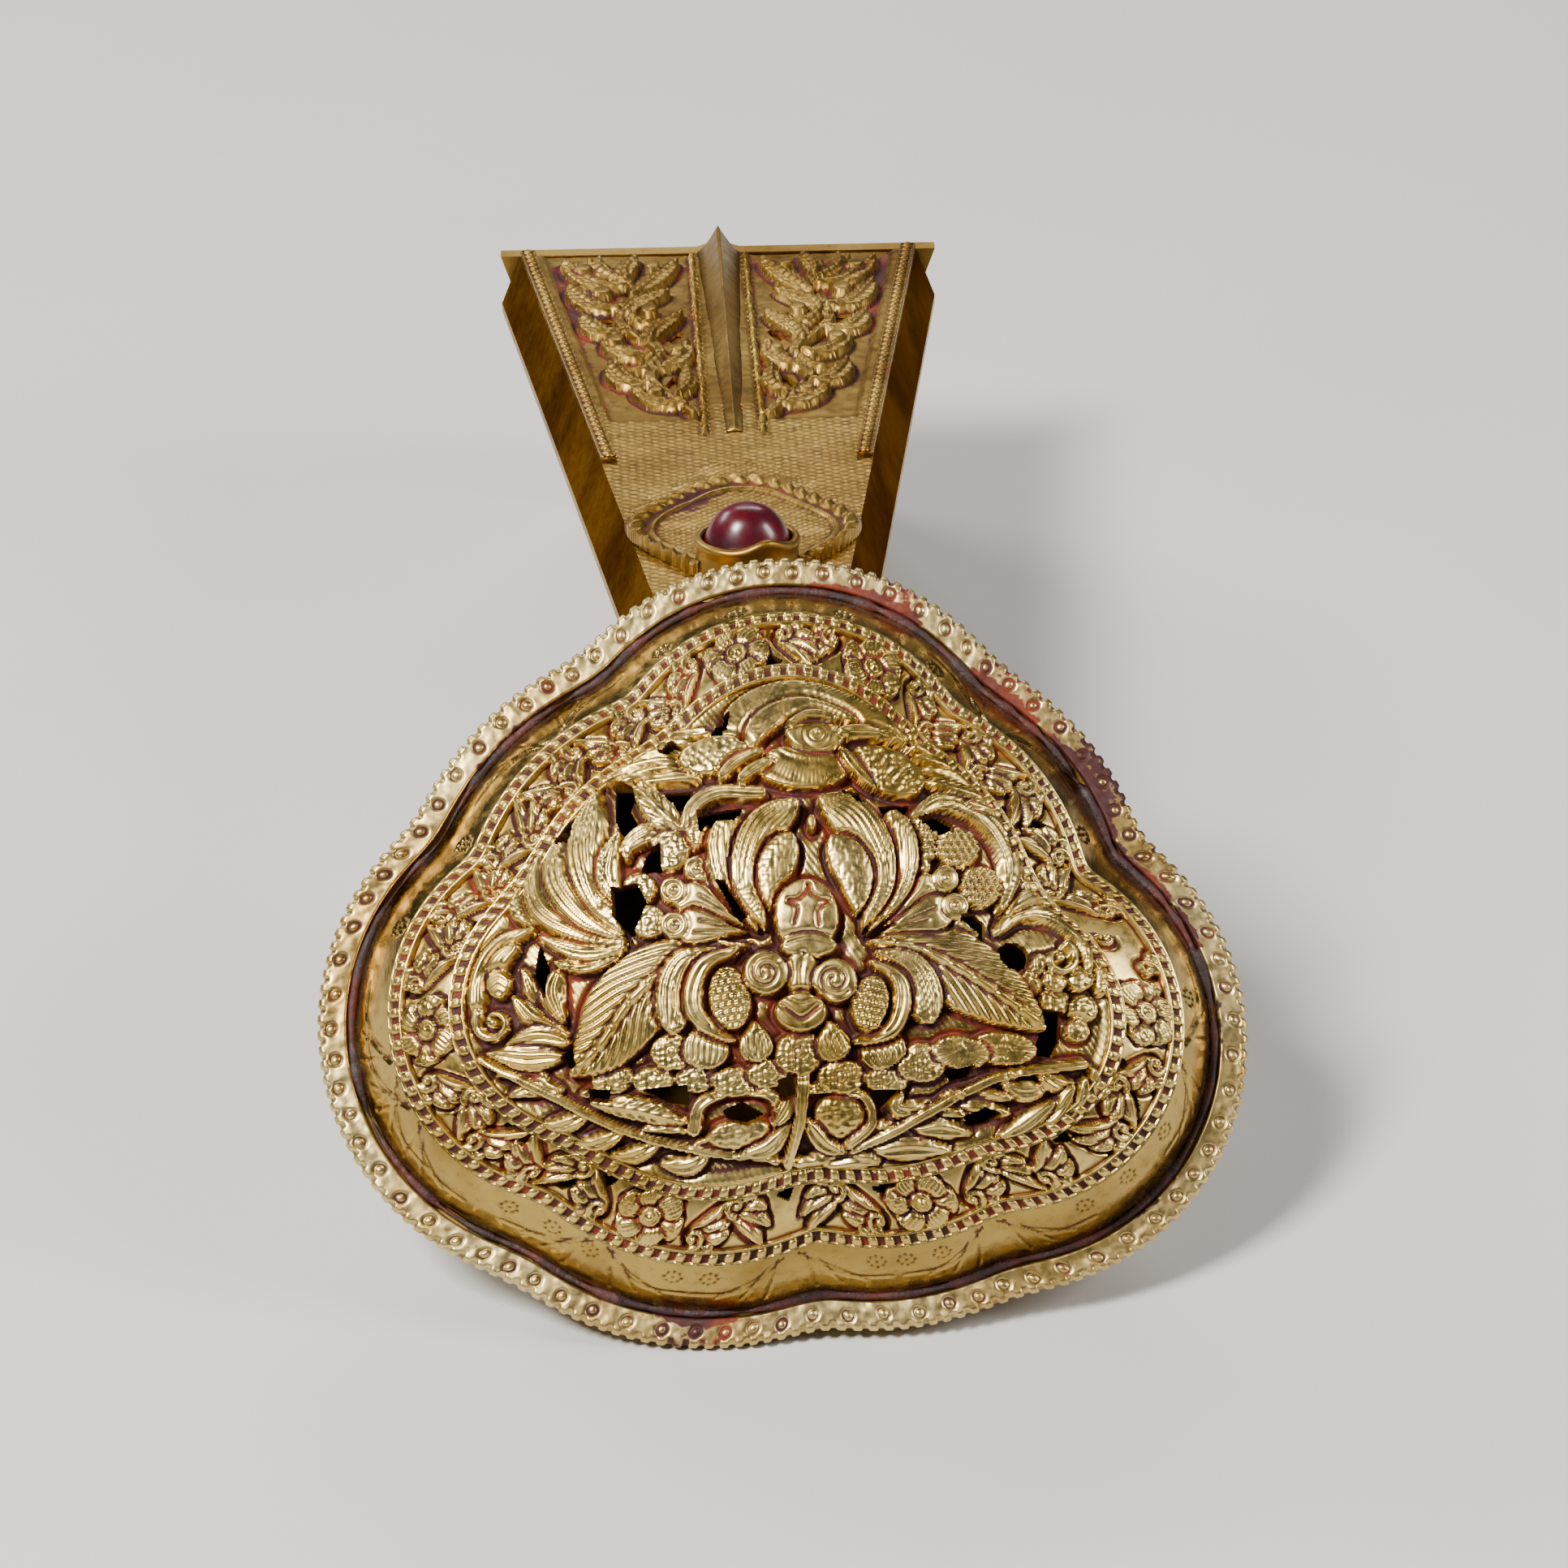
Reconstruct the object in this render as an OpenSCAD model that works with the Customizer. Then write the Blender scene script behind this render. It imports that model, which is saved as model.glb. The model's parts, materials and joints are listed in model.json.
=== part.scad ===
// Hand censer with a lobed bowl, a hinged pierced cover and a flared tail handle.
// It stands on the lower edge of its rim and on the foot of the tail.
// Head pieces are drawn in the head's own frame: X across, Y up the face, Z out of the face,
// with Z = 0 on the front of the rim. Handle pieces have Y along the handle and Z off its top.

/* [Head] */
// Angle that the face leans back from upright, in degrees
head_lean = 43.5; // [35:0.5:50]
// Width of the flat rim band
rim_w = 2.5; // [1.5:0.1:4]
// Thickness of the rim band
rim_t = 1.2; // [0.8:0.1:2]
// Gap between the wall and the rim band, filled with lac
seam_w = 0.7; // [0.4:0.1:1]
// Thickness of the beaten sheet
sheet_t = 0.9; // [0.6:0.1:1.5]
// Radius of the blend where two lobes of the rim meet
rim_blend = 5; // [1:0.5:8]

/* [Cover] */
// Height of the plain wall
wall_h = 6.3; // [4:0.1:9]
// How far the wall draws in over its height
wall_in = 3.8; // [2:0.1:5]
// Height of the sloping frieze
frieze_h = 3; // [1:0.1:5]
// How far the frieze draws in
frieze_in = 5.2; // [4:0.1:6]
// Height of the pierced dome above the frieze
dome_h = 4.2; // [2:0.1:6]
// Radius of the beaded wires
bead_r = 0.5; // [0.3:0.05:0.8]
// Depth of the collar that drops into the bowl
collar_depth = 2.2; // [1.5:0.1:2.5]

/* [Bowl] */
// Depth of the straight mouth, from the rim's front
mouth_depth = 3.5; // [3:0.1:5]
// Depth of the bowl, from the rim's front
bowl_depth = 17; // [13:0.5:18]
// How far the bowl draws in from mouth to bottom
bowl_in = 12.2; // [11:0.1:14]
// Clearance round the collar
collar_gap = 0.5; // [0.2:0.1:0.8]
// Clearance under the cover's rim
rim_gap = 0.3; // [0.2:0.05:0.5]
// Thickness of the bowl's edge strip
strip_t = 0.8; // [0.5:0.1:1.2]
// Depth of the pan's edge, from the rim's front
pan_top = 6; // [5:0.1:8]
// Clearance round the pan
pan_gap = 0.6; // [0.3:0.1:1]
// Thickness of the pan
pan_t = 0.6; // [0.4:0.1:1]
// Width of each pan lug
lug_w = 2.4; // [1.5:0.1:4]
// Height of each pan lug
lug_h = 1.4; // [1:0.1:2]
// Distance of the lugs below the pan's edge
lug_drop = 3; // [2:0.1:4]
// Distance of the lugs from the middle, across the face
lug_at = 15; // [10:0.5:18]

/* [Hinge] */
// Radius of the hinge barrel
barrel_r = 1.3; // [1.1:0.05:1.5]
// Radius of the hinge pin
hinge_pin_r = 0.6; // [0.4:0.05:0.7]
// Radial clearance of the pin in the cover's knuckle
pin_clear = 0.05; // [0.02:0.01:0.1]
// Length of the cover's knuckle
mid_knuckle = 5; // [3:0.1:7]
// Length of each of the bowl's knuckles
end_knuckle = 3; // [2:0.1:4]
// Gap between neighbouring knuckles
knuckle_gap = 0.3; // [0.2:0.05:0.5]
// Depth of the hinge axis behind the rim's front
hinge_depth = 3; // [2.8:0.1:3.4]

/* [Handle] */
// Length of the handle from the neck to the bend
handle_len = 86; // [60:1:120]
// Width of the handle at the neck
root_w = 21; // [19:0.5:26]
// Width of the handle at the bend
end_w = 44.5; // [30:0.5:56]
// Downward slope of the handle, in degrees
handle_slope = 7; // [0:0.5:9]
// Thickness of the handle
handle_t = 6; // [5:0.1:8]
// Width of the bevel along each side
bevel_w = 2; // [1:0.1:2.5]
// Height of the keel at the bend
keel_h = 2.9; // [2:0.1:6]
// Width of the keel at the bend
keel_w = 4.4; // [2:0.1:6]
// Width of the keel where it starts
keel_root_w = 1.6; // [1:0.1:3]
// Distance of the keel's start from the neck
keel_start = 38; // [34:1:50]
// Width of the raised borders
border_w = 1.6; // [1:0.1:2.5]
// Sideways set of the handle on the head
handle_set = -1.5; // [-3:0.1:3]
// Height of the raised borders
border_h = 0.5; // [0.3:0.1:1]
// Length of each leaf's piercing
slot_l = 4; // [2:0.5:6]

/* [Tail] */
// How far the tail runs back on its way down
tail_run = 6; // [2:0.5:12]
// Thickness of the tail
tail_t = 1.4; // [1:0.1:2]
// Depth of the foot strip, front to back
foot_d = 5; // [3:0.1:8]
// Height of the foot strip
foot_h = 1.6; // [1:0.1:3]
// Width of the foot strip
foot_w = 26; // [16:0.5:44]
// Width of the rib's lower end
rib_low_w = 1.2; // [0.8:0.1:3]

/* [Neck] */
// Width of the neck
neck_w = 17; // [12:0.5:18]
// Width of the tang
tang_w = 11; // [6:0.5:11]
// Thickness of the tang
tang_t = 2.6; // [2:0.1:3]
// Length of the tang inside the neck
tang_in = 3; // [2:0.1:3.5]
// Radius of the cross pins
cross_pin_r = 0.7; // [0.5:0.05:0.8]
// Length of the gem along the handle
gem_l = 7; // [5:0.1:7.5]
// Width of the gem across the handle
gem_w = 8.2; // [6:0.1:9]
// Height of the bezel
bezel_h = 3; // [2:0.1:4]
// Thickness of the bezel's wall
bezel_t = 0.5; // [0.3:0.05:0.8]
// Height of the gem above the bezel
gem_rise = 3.4; // [2:0.1:4]
// Distance of the gem's centre from the start of the handle
gem_at = 5; // [4.5:0.1:8]
// Distance of the cartouche plate from the start of the handle
plate_at = 0.6; // [0.5:0.1:1]
// Length of the cartouche plate
plate_l = 29; // [24:0.5:32]
// Width of the cartouche plate
plate_w = 21.5; // [16:0.5:23]
// Clearance of the cartouche plate round the bezel
plate_gap = 0.05; // [0.02:0.01:0.1]
// Thickness of the cartouche plate
plate_t = 0.8; // [0.5:0.1:1]

/* [Hidden] */
$fn = 64;
slack = 0.02;
// Beyond every side of the head
far = 100;

// Lobes of the head at the outer bead: centre X, centre Y, radius. Beaten by hand, so uneven.
LOBES = [
    [1, 11.5, 15.5],
    [-5.5, 0, 21],
    [6.5, 2, 18.7],
    [-17, -6.2, 15.5],
    [18, -8.4, 14.7],
    [-6.5, -7.5, 19.5],
    [7.5, -7, 18.9]
];
// Piercings of the dome and frieze: centre X, centre Y, turn, length.
PIERCINGS = [
    [-17, 9.5, 60, 4], [-13, 10.5, -40, 4], [-8.5, 11.5, 10, 4], [-4.5, 10, 30, 3],
    [-11.5, 6.5, -50, 4], [-13.5, 1.5, 70, 4], [-21, -2.5, 80, 5], [13.5, 9, -20, 4],
    [19.5, 8, 75, 4.5], [16.5, 0.5, 40, 4], [20, -3, -10, 3.5], [22.5, -9.5, 80, 4],
    [14.5, -13, 15, 4], [8.5, -14.5, -15, 4], [-10, -14.5, 10, 5], [-4, -16, 0, 4],
    [1, -14, 90, 3.5], [-4, 18.5, 20, 4]
];
PIERCE_SHARE = 0.45;

wall_out = wall_in;
rim_in = wall_out + seam_w;
rim_out = rim_in + rim_w;
bowl_out = wall_out - 0.2;
bowl_hole = bowl_out - sheet_t;
edge_out = rim_out - 1.5;
face_low = min([for (b = LOBES) b[1] - b[2]]) - rim_out;
face_high = max([for (b = LOBES) b[1] + b[2]]) + rim_out;
sl = sin(head_lean);
cl = cos(head_lean);
head_z = -face_low * cl + rim_t * sl;

// The hinge axis lies behind the rim, this far below its highest point.
hinge_drop = 1.8;
hinge_y = face_high - hinge_drop;
hinge_x = LOBES[0][0];
barrel_len = mid_knuckle + 2 * end_knuckle + 2 * knuckle_gap;

// The handle starts behind and below the rim's top: distances up and out of the face.
start_y = face_high - 1.4;
start_z = -7.6;
start_back = start_y * sl - start_z * cl;
start_up = start_y * cl + start_z * sl;
end_back = start_back + handle_len * cos(handle_slope);
end_up = start_up - handle_len * sin(handle_slope);
tail_drop = head_z + end_up;
rear = end_back + tail_run + foot_d / 2;
head_y = -(rear + face_low * sl) / 2;

root_half = root_w / 2;
end_half = end_w / 2;

// ---- Frames and shared shapes ----

module head_frame() {
    translate([0, head_y, head_z]) rotate([90 - head_lean, 0, 0]) children();
}

module handle_frame() {
    translate([handle_set, head_y + start_back, head_z + start_up])
        rotate([-handle_slope, 0, 0]) children();
}

// Lobed prism, grown or shrunk by d, from z0 to z1.
module lobed(d, z0, z1) {
    for (b = LOBES)
        translate([b[0], b[1], z0]) cylinder(h = z1 - z0, r = b[2] + d);
}

// Lobed frustum, from growth d0 at z0 to growth d1 at z1.
module lobed_taper(d0, d1, z0, z1) {
    for (b = LOBES)
        translate([b[0], b[1], z0]) cylinder(h = z1 - z0, r1 = b[2] + d0, r2 = b[2] + d1);
}

// Solid between two like sections, each a ring of [x, z] points, at y0 and y1.
module loft(near, end, y0, y1) {
    n = len(near);
    ring0 = [for (p = near) [p[0], y0, p[1]]];
    ring1 = [for (p = end) [p[0], y1, p[1]]];
    caps = [[for (i = [0 : n - 1]) i], [for (i = [n - 1 : -1 : 0]) n + i]];
    lower = [for (i = [0 : n - 1]) [i, n + i, n + (i + 1) % n]];
    upper = [for (i = [0 : n - 1]) [i, n + (i + 1) % n, (i + 1) % n]];
    polyhedron(points = concat(ring0, ring1), faces = concat(caps, lower, upper));
}

function half_at(y) = root_half + (end_half - root_half) * y / handle_len;

// ---- Bowl ----

module bowl_shape(grow, z_top) {
    lobed(bowl_out + grow, -mouth_depth, z_top);
    lobed_taper(bowl_out + grow - bowl_in, bowl_out + grow, -bowl_depth - grow, -mouth_depth);
}

module bowl() {
    color([0.72, 0.58, 0.32]) head_frame() difference() {
        bowl_shape(0, -rim_t - rim_gap);
        bowl_shape(-sheet_t, 1);
    }
}

module bowl_edge_strip() {
    z1 = -rim_t - rim_gap;
    color([0.8, 0.68, 0.42]) head_frame() difference() {
        lobed(edge_out, z1 - strip_t, z1);
        lobed(bowl_out, z1 - strip_t - 1, z1 + 1);
        translate([hinge_x - barrel_len / 2 - 1, hinge_y - barrel_r - 0.4, z1 - strip_t - 1])
            cube([barrel_len + 2, 12, strip_t + 2]);
    }
}

// The pan follows the bowl's inside at the pan's clearance.
function bowl_inside(z) = bowl_hole - bowl_in * (-mouth_depth - z) / (bowl_depth - mouth_depth);

module pan_shape(grow, z_top) {
    z0 = -bowl_depth + sheet_t + pan_gap - grow;
    lobed_taper(bowl_inside(z0) - pan_gap + grow - 0.3, bowl_inside(z_top) - pan_gap + grow - 0.3,
        z0, z_top);
}

module incense_pan() {
    color([0.45, 0.36, 0.24]) head_frame() difference() {
        pan_shape(0, -pan_top);
        pan_shape(-pan_t, -pan_top + 0.01);
    }
}

// Four small lugs fill the gap between pan and bowl.
module pan_lugs() {
    color([0.7, 0.56, 0.3]) head_frame() difference() {
        for (x = [-1, 1])
            translate([x * lug_at - lug_w / 2, face_low, -pan_top - lug_drop])
                cube([lug_w, face_high - face_low, lug_h]);
        pan_shape(0, 1);
        difference() {
            translate([-far, -far, -far]) cube(2 * far);
            bowl_shape(-sheet_t, 1);
        }
    }
}

// ---- Hinge ----

module barrel(x0, length, bore) {
    translate([x0, hinge_y, -hinge_depth]) rotate([0, 90, 0]) difference() {
        cylinder(h = length, r = barrel_r);
        translate([0, 0, -1]) cylinder(h = length + 2, r = bore);
    }
}

module pin_space(x0, length, bore) {
    translate([x0 - 1, hinge_y, -hinge_depth]) rotate([0, 90, 0]) cylinder(h = length + 2, r = bore);
}

module bowl_knuckle(x0) {
    leaf = 5;
    barrel(x0, end_knuckle, hinge_pin_r);
    difference() {
        translate([x0, hinge_y - leaf, -hinge_depth - barrel_r])
            cube([end_knuckle, leaf, barrel_r]);
        pin_space(x0, end_knuckle, hinge_pin_r);
        bowl_shape(0, 0);
    }
}

module bowl_knuckles() {
    color([0.8, 0.66, 0.38]) head_frame() {
        bowl_knuckle(hinge_x - barrel_len / 2);
        bowl_knuckle(hinge_x + barrel_len / 2 - end_knuckle);
    }
}

module cover_knuckle() {
    x0 = hinge_x - mid_knuckle / 2;
    bore = hinge_pin_r + pin_clear;
    web = 0.7 * barrel_r;
    color([0.8, 0.66, 0.38]) head_frame() {
        barrel(x0, mid_knuckle, bore);
        difference() {
            translate([x0, hinge_y - web, -hinge_depth])
                cube([mid_knuckle, 2 * web, hinge_depth - rim_t]);
            pin_space(x0, mid_knuckle, bore);
        }
    }
}

module hinge_pin() {
    color([0.62, 0.5, 0.28]) head_frame()
        translate([hinge_x - barrel_len / 2, hinge_y, -hinge_depth]) rotate([0, 90, 0])
            cylinder(h = barrel_len, r = hinge_pin_r);
}

// ---- Cover ----

// Outside of the cover: wall, frieze, then a dome of two tapers and a flat crown.
module cover_shape(grow, z0) {
    z1 = wall_h + grow;
    z2 = wall_h + frieze_h + grow;
    z3 = z2 + 0.6 * dome_h;
    z4 = z2 + dome_h;
    d0 = wall_out + grow;
    d1 = grow;
    d2 = grow - frieze_in;
    lobed_taper(d0 - z0 * wall_in / wall_h, d1, z0, z1);
    lobed_taper(d1, d2, z1, z2);
    lobed_taper(d2, d2 - 2.9, z2, z3);
    lobed_taper(d2 - 2.9, d2 - 6.3, z3, z4);
}

// A leaf-shaped slot: where two equal circles overlap.
module leaf_slot(length) {
    spread = length * PIERCE_SHARE;
    r = sqrt(pow(length / 2, 2) + pow(spread, 2));
    intersection() {
        translate([0, spread]) circle(r = r);
        translate([0, -spread]) circle(r = r);
    }
}

module cover() {
    color([0.82, 0.7, 0.44]) head_frame() difference() {
        cover_shape(0, 0);
        cover_shape(-sheet_t, -1);
        for (p = PIERCINGS)
            translate([p[0], p[1], wall_h]) rotate([0, 0, p[2]])
                linear_extrude(height = 20) leaf_slot(p[3]);
    }
}

module rim_outline() {
    offset(r = -rim_blend) offset(r = rim_blend)
        for (b = LOBES) translate([b[0], b[1]]) circle(r = b[2] + rim_out);
}

module rim_band() {
    color([0.8, 0.7, 0.47]) head_frame() difference() {
        translate([0, 0, -rim_t]) linear_extrude(height = rim_t) rim_outline();
        lobed(rim_in, -rim_t - 1, 1);
    }
}

module seam_lac() {
    color([0.36, 0.12, 0.1]) head_frame() difference() {
        lobed(rim_in, 0.1 - rim_t, -0.2);
        lobed(wall_out, -rim_t - 1, 1);
    }
}

// Wires lie against the cover's outside, half a radius proud.
module bead_wire(d, z) {
    difference() {
        lobed(d + bead_r, z - bead_r / 2, z + bead_r / 2);
        lobed(d - bead_r, z - bead_r, z + bead_r);
        cover_shape(0, 0);
    }
}

module outer_bead_wire() {
    color([0.88, 0.77, 0.5]) head_frame() bead_wire(0, wall_h);
}

module inner_bead_wire() {
    color([0.88, 0.77, 0.5]) head_frame() bead_wire(-frieze_in, wall_h + frieze_h);
}

module cover_collar() {
    outside = bowl_hole - collar_gap;
    color([0.66, 0.53, 0.3]) head_frame() difference() {
        lobed(outside, -collar_depth, 1.4);
        lobed(outside - 0.6, -collar_depth - 1, 2);
        difference() {
            cover_shape(0, 0);
            cover_shape(-sheet_t, -1);
        }
        difference() {
            lobed(wall_out + 5, 0.01, 3);
            cover_shape(-sheet_t, -1);
        }
    }
}

// ---- Neck ----

// Side view of the neck, in the head's Y and Z: from the bowl's wall out to the handle's start.
module neck_side() {
    top = [start_y - 0.2, start_z];
    polygon([
        top,
        [start_y - 3.2, start_z + 2.6],
        [start_y - 17, start_z + 2.6],
        [start_y - 20, -bowl_depth + 3],
        [start_y - 10, -bowl_depth + 3],
        top - handle_t * [cos(handle_turn), sin(handle_turn)]
    ]);
}
// Turn from the face's Y axis to the line off the handle's top.
handle_turn = head_lean - handle_slope;

module tang_bar(grow, y0, y1) {
    translate([-tang_w / 2 - grow, y0, -handle_t / 2 - tang_t / 2 - grow])
        cube([tang_w + 2 * grow, y1 - y0, tang_t + 2 * grow]);
}

module neck_socket() {
    color([0.76, 0.62, 0.36]) difference() {
        head_frame() translate([handle_set - neck_w / 2, 0, 0]) rotate([90, 0, 90])
            linear_extrude(height = neck_w) neck_side();
        head_frame() bowl_shape(0, 0);
        handle_frame() tang_bar(slack, -tang_in, 20);
        handle_frame() translate([-far, 0, -far]) cube(2 * far);
        handle_frame() cross_pins(cross_pin_r);
    }
}

module cross_pins(r) {
    for (x = [-1, 1])
        translate([x * tang_w / 4, -tang_in / 2, -handle_t]) cylinder(h = handle_t, r = r);
}

module tang() {
    color([0.6, 0.48, 0.28]) handle_frame() difference() {
        tang_bar(0, -tang_in, 12);
        cross_pins(cross_pin_r);
    }
}

module neck_pins() {
    color([0.85, 0.72, 0.42]) intersection() {
        handle_frame() cross_pins(cross_pin_r - slack);
        head_frame() translate([handle_set - neck_w / 2, 0, 0]) rotate([90, 0, 90])
            linear_extrude(height = neck_w) neck_side();
    }
}

module gem_oval(grow) {
    scale([(gem_w / 2 + grow) / (gem_l / 2 + grow), 1]) circle(r = gem_l / 2 + grow);
}

module gem_bezel() {
    color([0.84, 0.72, 0.46]) handle_frame() translate([0, gem_at, 0]) difference() {
        linear_extrude(height = bezel_h) gem_oval(bezel_t);
        translate([0, 0, 0.6]) linear_extrude(height = bezel_h) gem_oval(0);
    }
}

module gem_bed() {
    color([0.3, 0.12, 0.1]) handle_frame() translate([0, gem_at, 0.6])
        linear_extrude(height = 0.8) gem_oval(0);
}

module gem() {
    z0 = 1.4;
    rise = bezel_h + gem_rise - z0;
    color([0.32, 0.02, 0.08]) handle_frame() translate([0, gem_at, z0]) intersection() {
        scale([gem_w / gem_l, 1, 2 * rise / gem_l]) sphere(d = gem_l, $fn = 48);
        linear_extrude(height = rise + 1) gem_oval(-slack);
    }
}

// ---- Handle ----

// The top sheet is two leaves that meet under the keel.
module top_leaf(side) {
    y0 = 0;
    a = [0, side * (root_half - bevel_w)];
    b = [0, side * (end_half - bevel_w)];
    z = [0, -sheet_t];
    near = [[a[0], z[0]], [a[0], z[1]], [a[1], z[1]], [a[1], z[0]]];
    end = [[b[0], z[0]], [b[0], z[1]], [b[1], z[1]], [b[1], z[0]]];
    if (side > 0) loft(near, end, y0, handle_len);
    else mirror([1, 0, 0]) top_leaf(1);
}

module handle_top_left() {
    color([0.78, 0.64, 0.38]) handle_frame() top_leaf_cut(-1);
}

module handle_top_right() {
    color([0.78, 0.64, 0.38]) handle_frame() top_leaf_cut(1);
}

// Piercing of each leaf, over the hollow in the core.
module top_leaf_cut(side) {
    difference() {
        top_leaf(side);
        translate([side * pierce_x, pierce_at, -sheet_t - 1]) rotate([0, 0, side * pierce_turn])
            linear_extrude(height = 4) leaf_slot(slot_l);
    }
}
pierce_at = 0.48 * handle_len;
pierce_x = 4.5;
pierce_turn = 35;

// Side strip: a bevel down to the back plate.
module side_strip() {
    w = [root_half, end_half];
    near = [[w[0] - bevel_w, 0], [w[0] - bevel_w, -sheet_t], [w[0] - sheet_t, sheet_t - handle_t],
        [w[0], sheet_t - handle_t]];
    end = [[w[1] - bevel_w, 0], [w[1] - bevel_w, -sheet_t], [w[1] - sheet_t, sheet_t - handle_t],
        [w[1], sheet_t - handle_t]];
    loft(near, end, 0, handle_len);
}

module handle_left_side() {
    color([0.8, 0.7, 0.46]) handle_frame() mirror([1, 0, 0]) side_strip();
}

module handle_right_side() {
    color([0.8, 0.7, 0.46]) handle_frame() side_strip();
}

module handle_back_plate() {
    z = [sheet_t - handle_t, -handle_t];
    near = [[-root_half, z[0]], [-root_half, z[1]], [root_half, z[1]], [root_half, z[0]]];
    end = [[-end_half, z[0]], [-end_half, z[1]], [end_half, z[1]], [end_half, z[0]]];
    color([0.74, 0.6, 0.36]) handle_frame() loft(near, end, 0, handle_len);
}

// Wooden core between the sheets, bored for the tang and hollow under the piercings.
module handle_core() {
    m = 0.1;
    z = [-sheet_t - m, sheet_t + m - handle_t];
    a = [root_half - bevel_w - m, root_half - sheet_t - m];
    b = [end_half - bevel_w - m, end_half - sheet_t - m];
    near = [[-a[0], z[0]], [-a[0] , z[1]], [a[0], z[1]], [a[0], z[0]]];
    end = [[-b[0], z[0]], [-b[0], z[1]], [b[0], z[1]], [b[0], z[0]]];
    color([0.3, 0.18, 0.12]) handle_frame() difference() {
        loft(near, end, 0.2, handle_len - tail_t - 0.2);
        tang_bar(slack, -1, 12);
        for (side = [-1, 1])
            translate([side * pierce_x - slot_l * 0.75, pierce_at - slot_l * 0.75, z[0] - 2])
                cube([slot_l * 1.5, slot_l * 1.5, 4]);
    }
}

keel_root_h = 0.3;

module keel() {
    a = keel_root_w / 2;
    b = keel_w / 2;
    near = [[-a, 0], [a, 0], [0, keel_root_h]];
    end = [[-b, 0], [b, 0], [0, keel_h]];
    color([0.82, 0.68, 0.4]) handle_frame() loft(near, end, keel_start, handle_len);
}

module border() {
    x0 = root_half - bevel_w - border_w;
    x1 = end_half - bevel_w - border_w;
    y0 = plate_end + 1;
    xs = x0 + (x1 - x0) * y0 / handle_len;
    h = border_h;
    near = [[xs, 0], [xs + border_w, 0], [xs + border_w, h], [xs, h]];
    end = [[x1, 0], [x1 + border_w, 0], [x1 + border_w, h], [x1, h]];
    loft(near, end, y0, handle_len);
}

module left_border() {
    color([0.8, 0.66, 0.4]) handle_frame() mirror([1, 0, 0]) border();
}

module right_border() {
    color([0.8, 0.66, 0.4]) handle_frame() border();
}

// Cartouche: four round lobes, longer along the handle, cut out for the bezel.
plate_end = plate_at + plate_l;
lobe_share = 0.29;
waist_share = 0.62;

module cartouche_plate() {
    r = plate_w * lobe_share;
    cx = plate_w / 2 - r;
    cy = plate_l / 2 - r;
    color([0.82, 0.69, 0.42]) handle_frame() linear_extrude(height = plate_t) difference() {
        translate([0, plate_at + plate_l / 2]) {
            for (x = [-1, 1]) translate([x * cx, 0]) circle(r = r);
            for (y = [-1, 1]) translate([0, y * cy]) circle(r = r);
            square([plate_w * waist_share, plate_l * waist_share], center = true);
        }
        translate([0, gem_at]) gem_oval(bezel_t + plate_gap);
    }
}

// ---- Tail ----

tail_low = foot_w / 2;

// The tail plate hangs from the handle's end down to the foot strip, in the upright frame.
tail_gap = 0.1;

module tail_frame() {
    translate([handle_set, head_y + end_back, 0]) children();
}

module tail_plate() {
    top = tail_drop - tail_gap;
    shape = [[-end_half, top], [end_half, top], [tail_low, foot_h], [-tail_low, foot_h]];
    pts = [for (p = shape) [p[0], p[1] > foot_h ? tail_gap : tail_run - tail_t / 2, p[1]]];
    back = [for (p = pts) [p[0], p[1] + tail_t, p[2]]];
    color([0.78, 0.64, 0.38]) tail_frame() polyhedron(points = concat(pts, back),
        faces = [[3, 2, 1, 0], [4, 5, 6, 7], [0, 1, 5, 4], [1, 2, 6, 5], [2, 3, 7, 6], [3, 0, 4, 7]]);
}

module tail_rib() {
    w = keel_w / 2;
    low = rib_low_w / 2;
    rib_end = foot_h + 1;
    top = tail_drop - tail_gap;
    y0 = tail_gap + tail_t;
    y1 = tail_run + tail_t / 2;
    color([0.82, 0.68, 0.4]) tail_frame() polyhedron(
        points = [[-w, y0, top], [w, y0, top], [0, y0 + keel_h / 2, top],
            [-low, y1, rib_end], [low, y1, rib_end], [0, y1 + 0.4, rib_end]],
        faces = [[0, 1, 2], [5, 4, 3], [0, 3, 4], [0, 4, 1], [1, 4, 5], [1, 5, 2], [2, 5, 3],
            [2, 3, 0]]);
}

module tail_foot() {
    color([0.76, 0.63, 0.38]) tail_frame()
        translate([-tail_low, tail_run - foot_d / 2, 0]) cube([2 * tail_low, foot_d, foot_h]);
}

bowl();
bowl_edge_strip();
incense_pan();
pan_lugs();
bowl_knuckles();
hinge_pin();
cover();
rim_band();
seam_lac();
outer_bead_wire();
inner_bead_wire();
cover_collar();
cover_knuckle();
neck_socket();
tang();
neck_pins();
gem_bezel();
gem_bed();
gem();
cartouche_plate();
handle_top_left();
handle_top_right();
handle_left_side();
handle_right_side();
handle_back_plate();
handle_core();
keel();
left_border();
right_border();
tail_plate();
tail_rib();
tail_foot();
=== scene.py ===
import json
import math

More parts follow.
